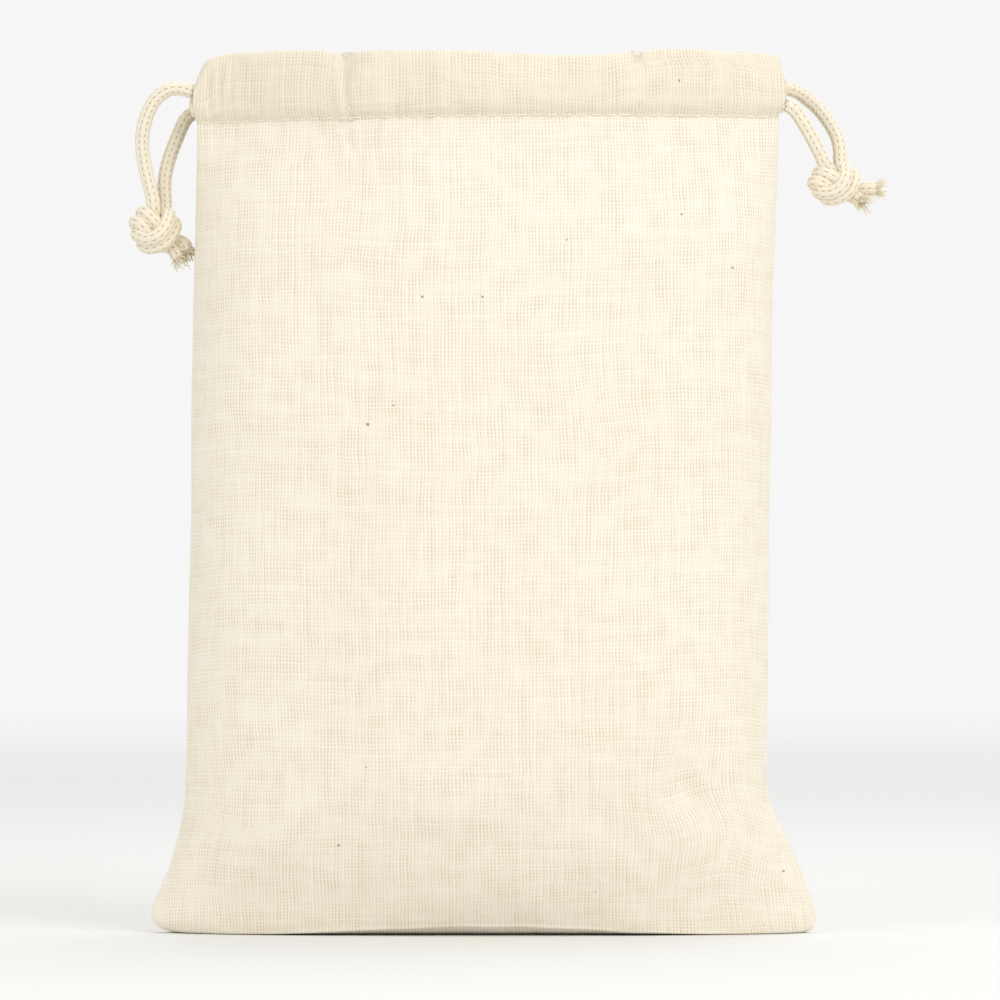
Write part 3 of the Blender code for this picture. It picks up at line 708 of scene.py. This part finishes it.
def strand_course(side, to_back, upper, bends):
    """A free strand's line, from the mouth of its casing to the top of its knot."""
    start = held_point(side, to_back, upper)
    start = start + np.array([mouth_lead(side) + side * SEAM_GAP, 0, 0])
    return [start + CORD * np.array([side * bend.out, bend.back, bend.up]) for bend in bends]


def tied_course(strand, sign, middle, shape, tail):
    """A strand's whole line: down to the knot, round it and out to the end of its tail."""
    turned = Matrix.Rotation(math.radians(shape.lean), 3, Vector((0, -1, 0)))
    axes = Matrix(((1, 0, 0), (0, 0, -1), (0, shape.tall, 0)))
    course = np.array(KNOT_COURSE)
    pairs = np.cross(course, np.gradient(course, axis=0))
    pairs[: len(ENTRY_PAIRS)] = ENTRY_PAIRS
    pairs /= np.linalg.norm(pairs, axis=1, keepdims=True)
    knot = list(course + sign * PAIR_HALF * pairs)
    knot += [np.array(end) for end in tail]
    rows = [middle + CORD * np.array(turned @ (axes @ Vector(place))) for place in knot]
    rows = strand + rows
    return evenly_along(smooth_through(rows, [COURSE_STEPS] * (len(rows) - 1)), STRAND_STEP)


# Meshes


def mesh_piece(name, vertices, faces, material, uv_name, uvs):
    """An object from its points, its faces and one texture place for each corner of a face."""
    mesh = bpy.data.meshes.new(name)
    mesh.from_pydata(np.asarray(vertices).tolist(), [], faces)
    layer = mesh.uv_layers.new(name=uv_name)
    layer.data.foreach_set("uv", np.asarray(uvs, dtype=np.float32).ravel())
    mesh.materials.append(material)
    mesh.update()
    mesh.shade_smooth()
    piece = bpy.data.objects.new(name, mesh)
    bpy.context.scene.collection.objects.link(piece)
    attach(piece, "root")
    return piece


def cloth_piece(name, outer, to_back, skews, material):
    """A sheet of cloth with its thickness, from a grid of points on its outer side."""
    inner = outer - surface_normals(outer) * CLOTH
    inner[:, :, 1] = np.minimum(inner[:, :, 1], -SEAM_GAP / 2)
    inner[:, :, 2] = np.maximum(inner[:, :, 2], INNER_FLOOR_GAP)
    rows, columns = outer.shape[:2]
    down = np.cumsum(np.linalg.norm(np.diff(outer, axis=0), axis=2), axis=0)
    down = np.vstack([np.zeros(columns), down])
    aside = np.cumsum(np.linalg.norm(np.diff(outer, axis=1), axis=2), axis=1)
    aside = np.hstack([np.zeros((rows, 1)), aside])
    aside -= aside[:, [columns // 2]]
    for skew in skews:
        apart = (outer[:, :, 0] - skew.x) ** 2 + (outer[:, :, 2] - skew.z) ** 2
        near = np.exp(-apart / skew.spread**2)
        turn = math.radians(skew.turn) * near
        row, at = np.unravel_index(near.argmax(), near.shape)
        from_u, from_v = aside - aside[row, at], down - down[row, at]
        aside = aside + from_u * (np.cos(turn) - 1) - from_v * np.sin(turn)
        down = down + from_u * np.sin(turn) + from_v * (np.cos(turn) - 1)
    if to_back:
        outer = outer * (1, -1, 1)
        inner = inner * (1, -1, 1)
        aside = aside + BACK_CUT
    count = rows * columns
    corner = np.arange(count).reshape(rows, columns)
    quads = np.stack([corner[:-1, :-1], corner[:-1, 1:], corner[1:, 1:], corner[1:, :-1]], 2)
    quads = quads.reshape(-1, 4)
    rim = [*corner[0], *corner[1:, -1], *corner[-1, -2::-1], *corner[-2:0:-1, 0]]
    edge = np.array([(a, b, b + count, a + count) for a, b in zip(rim, rim[1:] + rim[:1])])
    faces = np.vstack([quads[:, ::-1], quads + count, edge])
    if to_back:
        faces = faces[:, ::-1]
    place = np.stack([aside, -down], axis=2).reshape(-1, 2)
    uvs = place[faces % count]
    vertices = np.vstack([outer.reshape(-1, 3), inner.reshape(-1, 3)])
    return mesh_piece(name, vertices, faces.tolist(), material, "cloth", uvs)


def frames_along(points):
    """Two directions square to a line at each point, turning as little as they can."""
    along = np.gradient(points, axis=0)
    along /= np.linalg.norm(along, axis=1, keepdims=True)
    first = np.cross(along[0], START_ACROSS)
    ones, others = [], []
    for direction in along:
        first = first - direction * np.dot(first, direction)
        first = first / np.linalg.norm(first)
        ones.append(first)
        others.append(np.cross(direction, first))
    return np.array(ones), np.array(others)


def tube(points, radii, sides, turned=0):
    """Points and faces of a closed tube whose radius is given at every point of its grid. Its
    last rings may be turned back inside it, as at the open end of a hollow cord."""
    ones, others = frames_along(points[: len(points) - turned])
    ones = np.vstack([ones, np.repeat(ones[-1:], turned, axis=0)])
    others = np.vstack([others, np.repeat(others[-1:], turned, axis=0)])
    angles = 2 * math.pi * np.arange(sides) / sides
    ring = ones[:, None] * np.cos(angles)[:, None] + others[:, None] * np.sin(angles)[:, None]
    vertices = (points[:, None] + ring * radii[:, :, None]).reshape(-1, 3)
    corner = np.arange(len(points) * sides).reshape(len(points), sides)
    after = np.roll(corner, -1, axis=1)
    quads = np.stack([corner[:-1], after[:-1], after[1:], corner[1:]], 2).reshape(-1, 4)
    caps = [corner[0, ::-1].tolist(), corner[-1].tolist()]
    return vertices, quads, caps


def stitched(along, around):
    """The relief of a knitted cord, from 0 between its yarns to 1 on them: columns of Vs."""
    across = np.abs(2 * (around * WALES % 1.0) - 1)
    leg = np.abs(np.sin(math.pi * (along / STITCH_PITCH - STITCH_SLOPE * across))) ** LEG_CROWN
    lobe = np.sin(math.pi / 2 * across) ** LOBE_CROWN
    return LOBE_SHARE * lobe + LEG_SHARE * leg


def knitted_cord(name, points, sides, open_end, material):
    """A drawstring as a tube with its knitted relief, and its open end where it has one."""
    length = run_length(points)
    around = np.arange(sides) / sides
    relief = stitched(length[:, None], around[None, :])
    radii = CORD / 2 + YARN_PROUD - STITCH_DEPTH * (1 - relief)
    radii = radii * (0.9 + 0.1 * np.clip(length / END_ROUNDING, 0, 1)[:, None])
    if open_end:
        heading = (points[-1] - points[-3]) / np.linalg.norm(points[-1] - points[-3])
        points = np.vstack([points, *[points[-1] + heading * ring.step for ring in open_end]])
        inward = column(open_end, "radius")[:, None] * np.ones(sides) * CORD / 2
        radii = np.vstack([radii, inward])
        length = np.concatenate([length, length[-1] + column(open_end, "length")])
    vertices, quads, caps = tube(points, radii, sides, len(open_end))
    shares = np.arange(sides + 1)[None, :] / sides
    places = np.stack(np.broadcast_arrays(length[:, None], shares), 2)
    rows = np.arange(len(points) - 1)[:, None]
    columns = np.arange(sides)[None, :]
    corners = [
        places[rows, columns],
        places[rows, columns + 1],
        places[rows + 1, columns + 1],
        places[rows + 1, columns],
    ]
    uvs = np.stack(corners, axis=2).reshape(-1, 2)
    uvs = np.vstack([uvs, np.zeros((2 * sides, 2))])
    return mesh_piece(name, vertices, quads.tolist() + caps, material, "cord", uvs)


def many_threads(name, lines, radii, sides, material):
    """Many thin threads as one piece."""
    vertices, faces, uvs = [], [], []
    for points, radius in zip(lines, radii):
        made, quads, caps = tube(points, np.repeat(radius[:, None], sides, axis=1), sides)
        start = sum(len(part) for part in vertices)
        vertices.append(made)
        length = run_length(points)
        for face in quads.tolist() + caps:
            faces.append([start + corner for corner in face])
            uvs += [(length[corner // sides], (corner % sides) / sides) for corner in face]
    return mesh_piece(name, np.vstack(vertices), faces, material, "thread", uvs)


# Finishes


def linear(hex_colour):
    """An sRGB hex colour as the linear values that a shader takes."""
    parts = [int(hex_colour[i : i + 2], 16) / 255 for i in (1, 3, 5)]
    return (*[p / 12.92 if p <= 0.04045 else ((p + 0.055) / 1.055) ** 2.4 for p in parts], 1.0)


def add_node(tree, kind, inputs=None, out=0, **settings):
    """Adds a node with its settings and links, and gives one of its outputs."""
    node = tree.nodes.new(kind)
    for name, value in settings.items():
        setattr(node, name, value)
    for socket, value in (inputs or {}).items():
        if isinstance(value, bpy.types.NodeSocket):
            tree.links.new(value, node.inputs[socket])
        else:
            node.inputs[socket].default_value = value
    return node.outputs[out] if len(node.outputs) else node


def new_finish(name):
    material = bpy.data.materials.new(name)
    material.use_nodes = True
    material.node_tree.nodes.clear()
    return material, material.node_tree


MATH = "ShaderNodeMath"
VECTOR = "ShaderNodeVectorMath"
SPLIT = "ShaderNodeSeparateXYZ"
NOISE = "ShaderNodeTexNoise"
CELLS = "ShaderNodeTexVoronoi"
RANGE = "ShaderNodeMapRange"
BLEND = "ShaderNodeMix"
BUMP = "ShaderNodeBump"
SHADER = "ShaderNodeBsdfPrincipled"
OUTPUT = "ShaderNodeOutputMaterial"
COTTON = {"IOR": 1.53, "Specular IOR Level": 0.2}


def plain_weave_muslin(name, thread_hex, slub_hex, gap_shade_hex):
    """Unbleached cotton muslin, woven one over one under from uneven carded yarn. The eye
    sees pale rounded threads, thick slubs, and dark bits of seed. The tan in the gaps between
    the threads, and on the lower of two crossing threads, is painted shade."""
    finish, tree = new_finish(name)
    place = add_node(tree, "ShaderNodeUVMap", uv_map="cloth")
    drift = {"Vector": place, "Scale": DRIFT_SCALE, "Detail": 2.0}
    drift = add_node(tree, NOISE, drift, "Color")
    drift = add_node(tree, VECTOR, {0: drift, 1: (0.5, 0.5, 0.5)}, operation="SUBTRACT")
    drift = add_node(
        tree, VECTOR, {0: drift, 1: (WEAVE_DRIFT, WEAVE_DRIFT, 0)}, operation="MULTIPLY"
    )
    moved = add_node(tree, VECTOR, {0: place, 1: drift}, operation="ADD")
    yarns, runs, tops = [], [], []
    for threads in (WARP, WEFT):
        drawn = {"Vector": moved, "Scale": threads.stretch}
        drawn = add_node(tree, "ShaderNodeMapping", drawn)
        yarn = add_node(tree, NOISE, {"Vector": drawn, "Scale": 1.0, "Detail": 1.0})
        run = add_node(tree, SPLIT, {0: moved}, threads.axis)
        run = add_node(tree, MATH, {0: run, 1: math.pi / threads.pitch}, operation="MULTIPLY")
        run = add_node(tree, MATH, {0: yarn, 1: YARN_WANDER, 2: run}, operation="MULTIPLY_ADD")
        runs.append(add_node(tree, MATH, {0: run}, operation="COSINE"))
        yarns.append(yarn)
    crossing = add_node(tree, MATH, {0: runs[0], 1: runs[1]}, operation="MULTIPLY")
    for threads, yarn, run in zip((WARP, WEFT), yarns, runs):
        top = add_node(tree, MATH, {0: run}, operation="ABSOLUTE")
        top = add_node(tree, MATH, {0: top, 1: threads.height}, operation="MULTIPLY")
        for source, share in ((crossing, threads.over), (yarn, threads.uneven)):
            top = add_node(tree, MATH, {0: source, 1: share, 2: top}, operation="MULTIPLY_ADD")
        tops.append(top)
    relief = add_node(tree, MATH, {0: tops[0], 1: tops[1], 2: 0.15}, operation="SMOOTH_MAX")
    # Painted shade: where the relief is low, in the gaps and on a thread that passes under the
    # other, the colour goes to the gap shade
    cover = add_node(
        tree,
        RANGE,
        {"Value": relief, "From Min": 0.40, "From Max": 1.15},
        interpolation_type="SMOOTHSTEP",
    )
    open_patch = add_node(tree, NOISE, {"Vector": place, "Scale": PATCH_SCALE, "Detail": 3.0})
    limits = {"From Min": 0.36, "From Max": 0.64, "To Min": 0.35, "To Max": 1.0}
    open_patch = add_node(tree, RANGE, {"Value": open_patch, **limits})
    gap_shade = add_node(tree, MATH, {0: 1.0, 1: cover}, operation="SUBTRACT")
    gap_shade = add_node(tree, MATH, {0: gap_shade, 1: open_patch}, operation="MULTIPLY")
    broad = add_node(tree, NOISE, {"Vector": place, "Scale": BROAD_SCALE, "Detail": 3.0})
    slub = add_node(tree, MATH, {0: yarns[0], 1: yarns[1]}, operation="MULTIPLY")
    slub = add_node(tree, MATH, {0: broad, 1: 0.5, 2: slub}, operation="MULTIPLY_ADD")
    slub = add_node(tree, RANGE, {"Value": slub, "From Min": 0.20, "From Max": 0.80})
    shades = {0: slub, 6: linear(slub_hex), 7: linear(thread_hex)}
    thread = add_node(tree, BLEND, shades, 2, data_type="RGBA")
    shades = {0: gap_shade, 6: thread, 7: linear(gap_shade_hex)}
    cloth = add_node(tree, BLEND, shades, 2, data_type="RGBA")
    cell = {"Vector": place, "Scale": SEED_SCALE}
    near = add_node(tree, CELLS, cell, "Distance")
    chance = add_node(tree, CELLS, cell, "Color")
    chance = add_node(tree, "ShaderNodeSeparateColor", {0: chance}, "Red")
    chance = add_node(
        tree, RANGE, {"Value": chance, "From Min": 0.76, "From Max": 1.0, "To Max": 0.060}
    )
    seed = add_node(tree, MATH, {0: near, 1: chance}, operation="LESS_THAN")
    seed = add_node(tree, MATH, {0: seed, 1: 0.70}, operation="MULTIPLY")
    shades = {0: seed, 6: cloth, 7: linear(SEED_HEX)}
    cloth = add_node(tree, BLEND, shades, 2, data_type="RGBA")
    bump = add_node(tree, BUMP, {"Height": relief, "Strength": 0.35, "Distance": 0.0004})
    look = {"Base Color": cloth, "Normal": bump, "Roughness": 0.92}
    sheen = {"Sheen Weight": 0.15, "Sheen Roughness": 0.5}
    add_node(tree, OUTPUT, {"Surface": add_node(tree, SHADER, {**look, **COTTON, **sheen})})
    return finish


def knitted_cotton(name, yarn_hex, dull_hex, groove_shade_hex):
    """Soft cotton cord, knitted as a narrow tube. The eye sees columns of Vs on a matt cream
    yarn. The dark dot where the legs of each V part is painted shade in the hollow between
    yarns."""
    finish, tree = new_finish(name)
    place = add_node(tree, "ShaderNodeUVMap", uv_map="cord")
    along = add_node(tree, SPLIT, {0: place}, "X")
    around = add_node(tree, SPLIT, {0: place}, "Y")
    across = add_node(tree, MATH, {0: around, 1: 2.0 * WALES}, operation="MULTIPLY")
    across = add_node(tree, MATH, {0: across, 1: 1.0}, operation="PINGPONG")
    across = add_node(tree, MATH, {0: 1.0, 1: across}, operation="SUBTRACT")
    row = add_node(tree, MATH, {0: along, 1: 1 / STITCH_PITCH}, operation="MULTIPLY")
    row = add_node(tree, MATH, {0: across, 1: -STITCH_SLOPE, 2: row}, operation="MULTIPLY_ADD")
    row = add_node(tree, MATH, {0: row, 1: math.pi}, operation="MULTIPLY")
    leg = add_node(tree, MATH, {0: row}, operation="SINE")
    leg = add_node(tree, MATH, {0: leg}, operation="ABSOLUTE")
    leg = add_node(tree, MATH, {0: leg, 1: LEG_CROWN}, operation="POWER")
    leg = add_node(tree, MATH, {0: leg, 1: LEG_SHARE}, operation="MULTIPLY")
    lobe = add_node(tree, MATH, {0: across, 1: math.pi / 2}, operation="MULTIPLY")
    lobe = add_node(tree, MATH, {0: lobe}, operation="SINE")
    lobe = add_node(tree, MATH, {0: lobe, 1: LOBE_CROWN}, operation="POWER")
    relief = add_node(tree, MATH, {0: lobe, 1: LOBE_SHARE, 2: leg}, operation="MULTIPLY_ADD")
    # Painted shade: the cord is coloured darker where its relief is low, in the hollows
    # between its yarns
    depth = add_node(
        tree,
        RANGE,
        {"Value": relief, "From Min": 0.08, "From Max": 0.68},
        interpolation_type="SMOOTHSTEP",
    )
    uneven = add_node(tree, NOISE, {"Vector": place, "Scale": CORD_SCALE, "Detail": 3.0})
    uneven = add_node(tree, RANGE, {"Value": uneven, "From Min": 0.3, "From Max": 0.7})
    shades = {0: uneven, 6: linear(dull_hex), 7: linear(yarn_hex)}
    yarn = add_node(tree, BLEND, shades, 2, data_type="RGBA")
    shades = {0: depth, 6: linear(groove_shade_hex), 7: yarn}
    colour = add_node(tree, BLEND, shades, 2, data_type="RGBA")
    twist = add_node(tree, MATH, {0: along, 1: 2 * math.pi / YARN_TWIST}, operation="MULTIPLY")
    twist = add_node(tree, MATH, {0: around, 1: 60.0, 2: twist}, operation="MULTIPLY_ADD")
    twist = add_node(tree, MATH, {0: twist}, operation="SINE")
    bump = add_node(tree, BUMP, {"Height": twist, "Strength": 0.3, "Distance": 0.0001})
    look = {"Base Color": colour, "Normal": bump, "Roughness": 0.9}
    sheen = {"Sheen Weight": 0.2, "Sheen Roughness": 0.5}
    add_node(tree, OUTPUT, {"Surface": add_node(tree, SHADER, {**look, **COTTON, **sheen})})
    return finish


def spun_cotton(name, pale_hex, dull_hex):
    """Spun cotton thread, for the sewing and the frayed yarn: matt, pale, a little uneven."""
    finish, tree = new_finish(name)
    place = add_node(tree, "ShaderNodeUVMap", uv_map="thread")
    uneven = add_node(tree, NOISE, {"Vector": place, "Scale": THREAD_SCALE, "Detail": 2.0})
    shades = {0: uneven, 6: linear(dull_hex), 7: linear(pale_hex)}
    colour = add_node(tree, BLEND, shades, 2, data_type="RGBA")
    look = {"Base Color": colour, "Roughness": 0.85}
    add_node(tree, OUTPUT, {"Surface": add_node(tree, SHADER, {**look, **COTTON})})
    return finish


# The pouch


def sewing(name, seed, to_back, material):
    """The running stitches along a casing's edge, outside and inside."""
    across = np.linspace(-SEWN_ENDS, SEWN_ENDS, SEWN_PLACES)
    middle, outward = casing_station(across)
    length = run_length(middle.T)
    mirror = -1 if to_back else 1
    crown = np.sin(np.linspace(0, math.pi, SEWN_POINTS)) ** 0.5
    lines, radii = [], []
    for outside, start in ((1, 0.0), (-1, SEWN_APART / 2)):
        for first in np.arange(start, length[-1] - SEWN_SHOWN, SEWN_APART):
            at = np.linspace(first, first + SEWN_SHOWN, SEWN_POINTS)
            share = np.interp(at, length, across)
            x = np.interp(at, length, middle[0])
            y = np.interp(at, length, middle[1])
            nx = np.interp(at, length, outward[0])
            ny = np.interp(at, length, outward[1])
            n = outside * (SEWN_CLEAR + SEWN_CROWN * crown) + pucker(x, seed)
            z = stitch_height(share) + SEWN_HEIGHT
            lines.append(np.stack([x + nx * n, mirror * (y + ny * n), z], 1))
            radii.append(np.full(SEWN_POINTS, SEWN_RADIUS))
    return many_threads(name, lines, radii, SEWN_SIDES, material)


def frayed_end(name, points, seed, material):
    """Loose yarn at the cut end of a tail."""
    rng = np.random.default_rng(seed)
    tip = points[-1]
    heading = tip - points[-FRAY_POINTS]
    heading = heading / np.linalg.norm(heading)
    ones, others = frames_along(points[-FRAY_POINTS:])
    lines, radii = [], []
    for i in range(FRAY_YARNS):
        angle = 2 * math.pi * (i + rng.uniform(-0.4, 0.4)) / FRAY_YARNS
        out = math.cos(angle) * ones[-1] + math.sin(angle) * others[-1]
        base = tip - heading * FRAY_BACK + out * CORD / 2 * rng.uniform(0.60, 0.92)
        reach = rng.uniform(*FRAY_REACHES)
        spread = rng.uniform(*FRAY_SPREADS)
        curl = rng.normal(0, FRAY_CURL, 3)
        rows = [
            base,
            base + heading * reach * 0.4 + out * reach * 0.10 * spread,
            base + heading * reach * 0.75 + out * reach * 0.40 * spread + curl,
            base + heading * reach + out * reach * 0.75 * spread + curl * 2.2,
        ]
        line = smooth_through(rows, [3, 3, 3])
        lines.append(line)
        radii.append(np.linspace(*FRAY_RADII, len(line)))
    return many_threads(name, lines, radii, FRAY_SIDES, material)


Lamp = namedtuple("Lamp", "name place size watts")
LAMPS = [
    Lamp("key_right", (1.8, -2.1, 2.1), 2.2, 38.0),
    Lamp("fill_left", (-2.1, -2.0, 1.4), 1.8, 15.0),
    Lamp("top", (0.3, 0.9, 2.4), 1.6, 16.0),
]


def make_studio():
    """The camera at the photograph's place, a pale floor that fades out, and soft lights."""
    camera = bpy.data.objects.new("camera", bpy.data.cameras.new("camera"))
    bpy.context.scene.collection.objects.link(camera)
    distance, view_width = 4.0, 0.569
    camera.location = (0.0094, -distance, 0.2458)
    camera.rotation_euler = (math.radians(90), 0, 0)
    camera.data.sensor_width = 36.0
    camera.data.lens = 36.0 * distance / view_width
    camera.data.clip_end = 60.0
    bpy.context.scene.camera = camera
    bpy.context.scene.view_settings.view_transform = "Standard"

    bpy.ops.mesh.primitive_circle_add(
        vertices=96, radius=9.0, fill_type="NGON", location=(0, 0, -0.0003)
    )
    floor = bpy.context.object
    floor.name = "floor"
    finish, tree = new_finish("matt_white_floor")
    spot = add_node(tree, "ShaderNodeTexCoord", out="Object")
    far = add_node(tree, VECTOR, {0: spot}, "Value", operation="LENGTH")
    fade = add_node(
        tree,
        RANGE,
        {"Value": far, "From Min": 0.5, "From Max": 4.5},
        interpolation_type="SMOOTHSTEP",
    )
    solid = add_node(tree, SHADER, {"Base Color": linear("#EAEAE8"), "Roughness": 0.9})
    clear = add_node(tree, "ShaderNodeBsdfTransparent")
    mixed = add_node(tree, "ShaderNodeMixShader", {0: fade, 1: solid, 2: clear})
    add_node(tree, OUTPUT, {"Surface": mixed})
    floor.data.materials.append(finish)

    world = bpy.data.worlds.new("studio")
    world.use_nodes = True
    bpy.context.scene.world = world
    tree = world.node_tree
    tree.nodes.clear()
    seen = add_node(tree, "ShaderNodeLightPath", out="Is Camera Ray")
    strength = add_node(tree, RANGE, {"Value": seen, "To Min": 0.75, "To Max": 0.925})
    glow = {"Color": linear("#FFFFFF"), "Strength": strength}
    sky = add_node(tree, "ShaderNodeBackground", glow)
    add_node(tree, "ShaderNodeOutputWorld", {"Surface": sky})

    for lamp in LAMPS:
        light = bpy.data.lights.new(lamp.name, "AREA")
        light.size = lamp.size
        light.energy = lamp.watts
        thing = bpy.data.objects.new(lamp.name, light)
        thing.location = lamp.place
        aim = Vector((0, 0, 0.25)) - Vector(lamp.place)
        thing.rotation_euler = aim.to_track_quat("-Z", "Y").to_euler()
        bpy.context.scene.collection.objects.link(thing)


def make_cords(cord_finish, yarn_finish):
    """The drawstrings: two free strands a side, tied together, and two held stretches."""
    sides = [
        ("left", -1, True, LEFT_FRONT_STRAND, LEFT_BACK_STRAND, LEFT_KNOT, LEFT_TAILS),
        ("right", 1, False, RIGHT_FRONT_STRAND, RIGHT_BACK_STRAND, RIGHT_KNOT, RIGHT_TAILS),
    ]
    for name, side, upper_in_front, front_bends, back_bends, knot, tails in sides:
        front = strand_course(side, False, upper_in_front, front_bends)
        back = strand_course(side, True, not upper_in_front, back_bends)
        middle = front[-1] + CORD * np.array([knot.right, knot.back, knot.up])
        for which, strand, sign, tail, seed in (
            ("front", front, -1, tails[0], 31),
            ("back", back, 1, tails[1], 47),
        ):
            points = tied_course(strand, sign, middle, knot, tail)
            piece = knitted_cord(
                f"{name}_{which}_cord", points, STRAND_SIDES, OPEN_END, cord_finish
            )
            fray = frayed_end(f"{name}_{which}_fray", points, seed + side, yarn_finish)
            knots = [f"{name}_knot"] if which == "front" else []
            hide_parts(f"{name}_{which}_strand", *knots)
        course = held_course(side, upper_in_front)
        held = knitted_cord(f"{name}_held_cord", course, HELD_SIDES, [], cord_finish)
        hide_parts(f"{name}_drawstring")


def make_cloth(muslin, hem, thread):
    """The two panels, the two casings and the sewing along them."""
    for name, to_back, dents, folds, skews, pleats, seed in (
        ("front", False, FRONT_DENTS, FRONT_FOLDS, FRONT_SKEWS, FRONT_PLEATS, 5),
        ("back", True, BACK_DENTS, BACK_FOLDS, BACK_SKEWS, BACK_PLEATS, 6),
    ):
        surface = panel_surface(dents, folds, seed)
        panel = cloth_piece(f"{name}_cloth", surface, to_back, skews, muslin)
        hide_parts(f"{name}_panel")
        surface = casing_surface(pleats, seed + 10)[::-1]
        casing = cloth_piece(f"{name}_hem", surface, to_back, (), hem)
        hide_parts(f"{name}_casing")
        stitches = sewing(f"{name}_sewing", seed, to_back, thread)


make_studio()
# The cord's last colour is painted shade for the hollows between its yarns
cord = knitted_cotton("knitted_cotton_cord", "#F9F2E2", "#EADEC4", "#A98F63")
yarn = spun_cotton("frayed_cotton_yarn", "#F6EEDB", "#E2D4B6")
make_cords(cord, yarn)
# Each weave's last colour is painted shade for the gaps between its threads
muslin = plain_weave_muslin("unbleached_muslin", "#F8F1E3", "#F0E8D6", "#D5C7A6")
# The hem's colours are the panels' made a little darker, as painted shade over the whole
# casing band
hem = plain_weave_muslin("hem_muslin_with_painted_shade", "#F1E9D8", "#E8DDC7", "#D0C09C")
thread = spun_cotton("sewing_thread", "#FBF6EA", "#EFE7D3")
make_cloth(muslin, hem, thread)
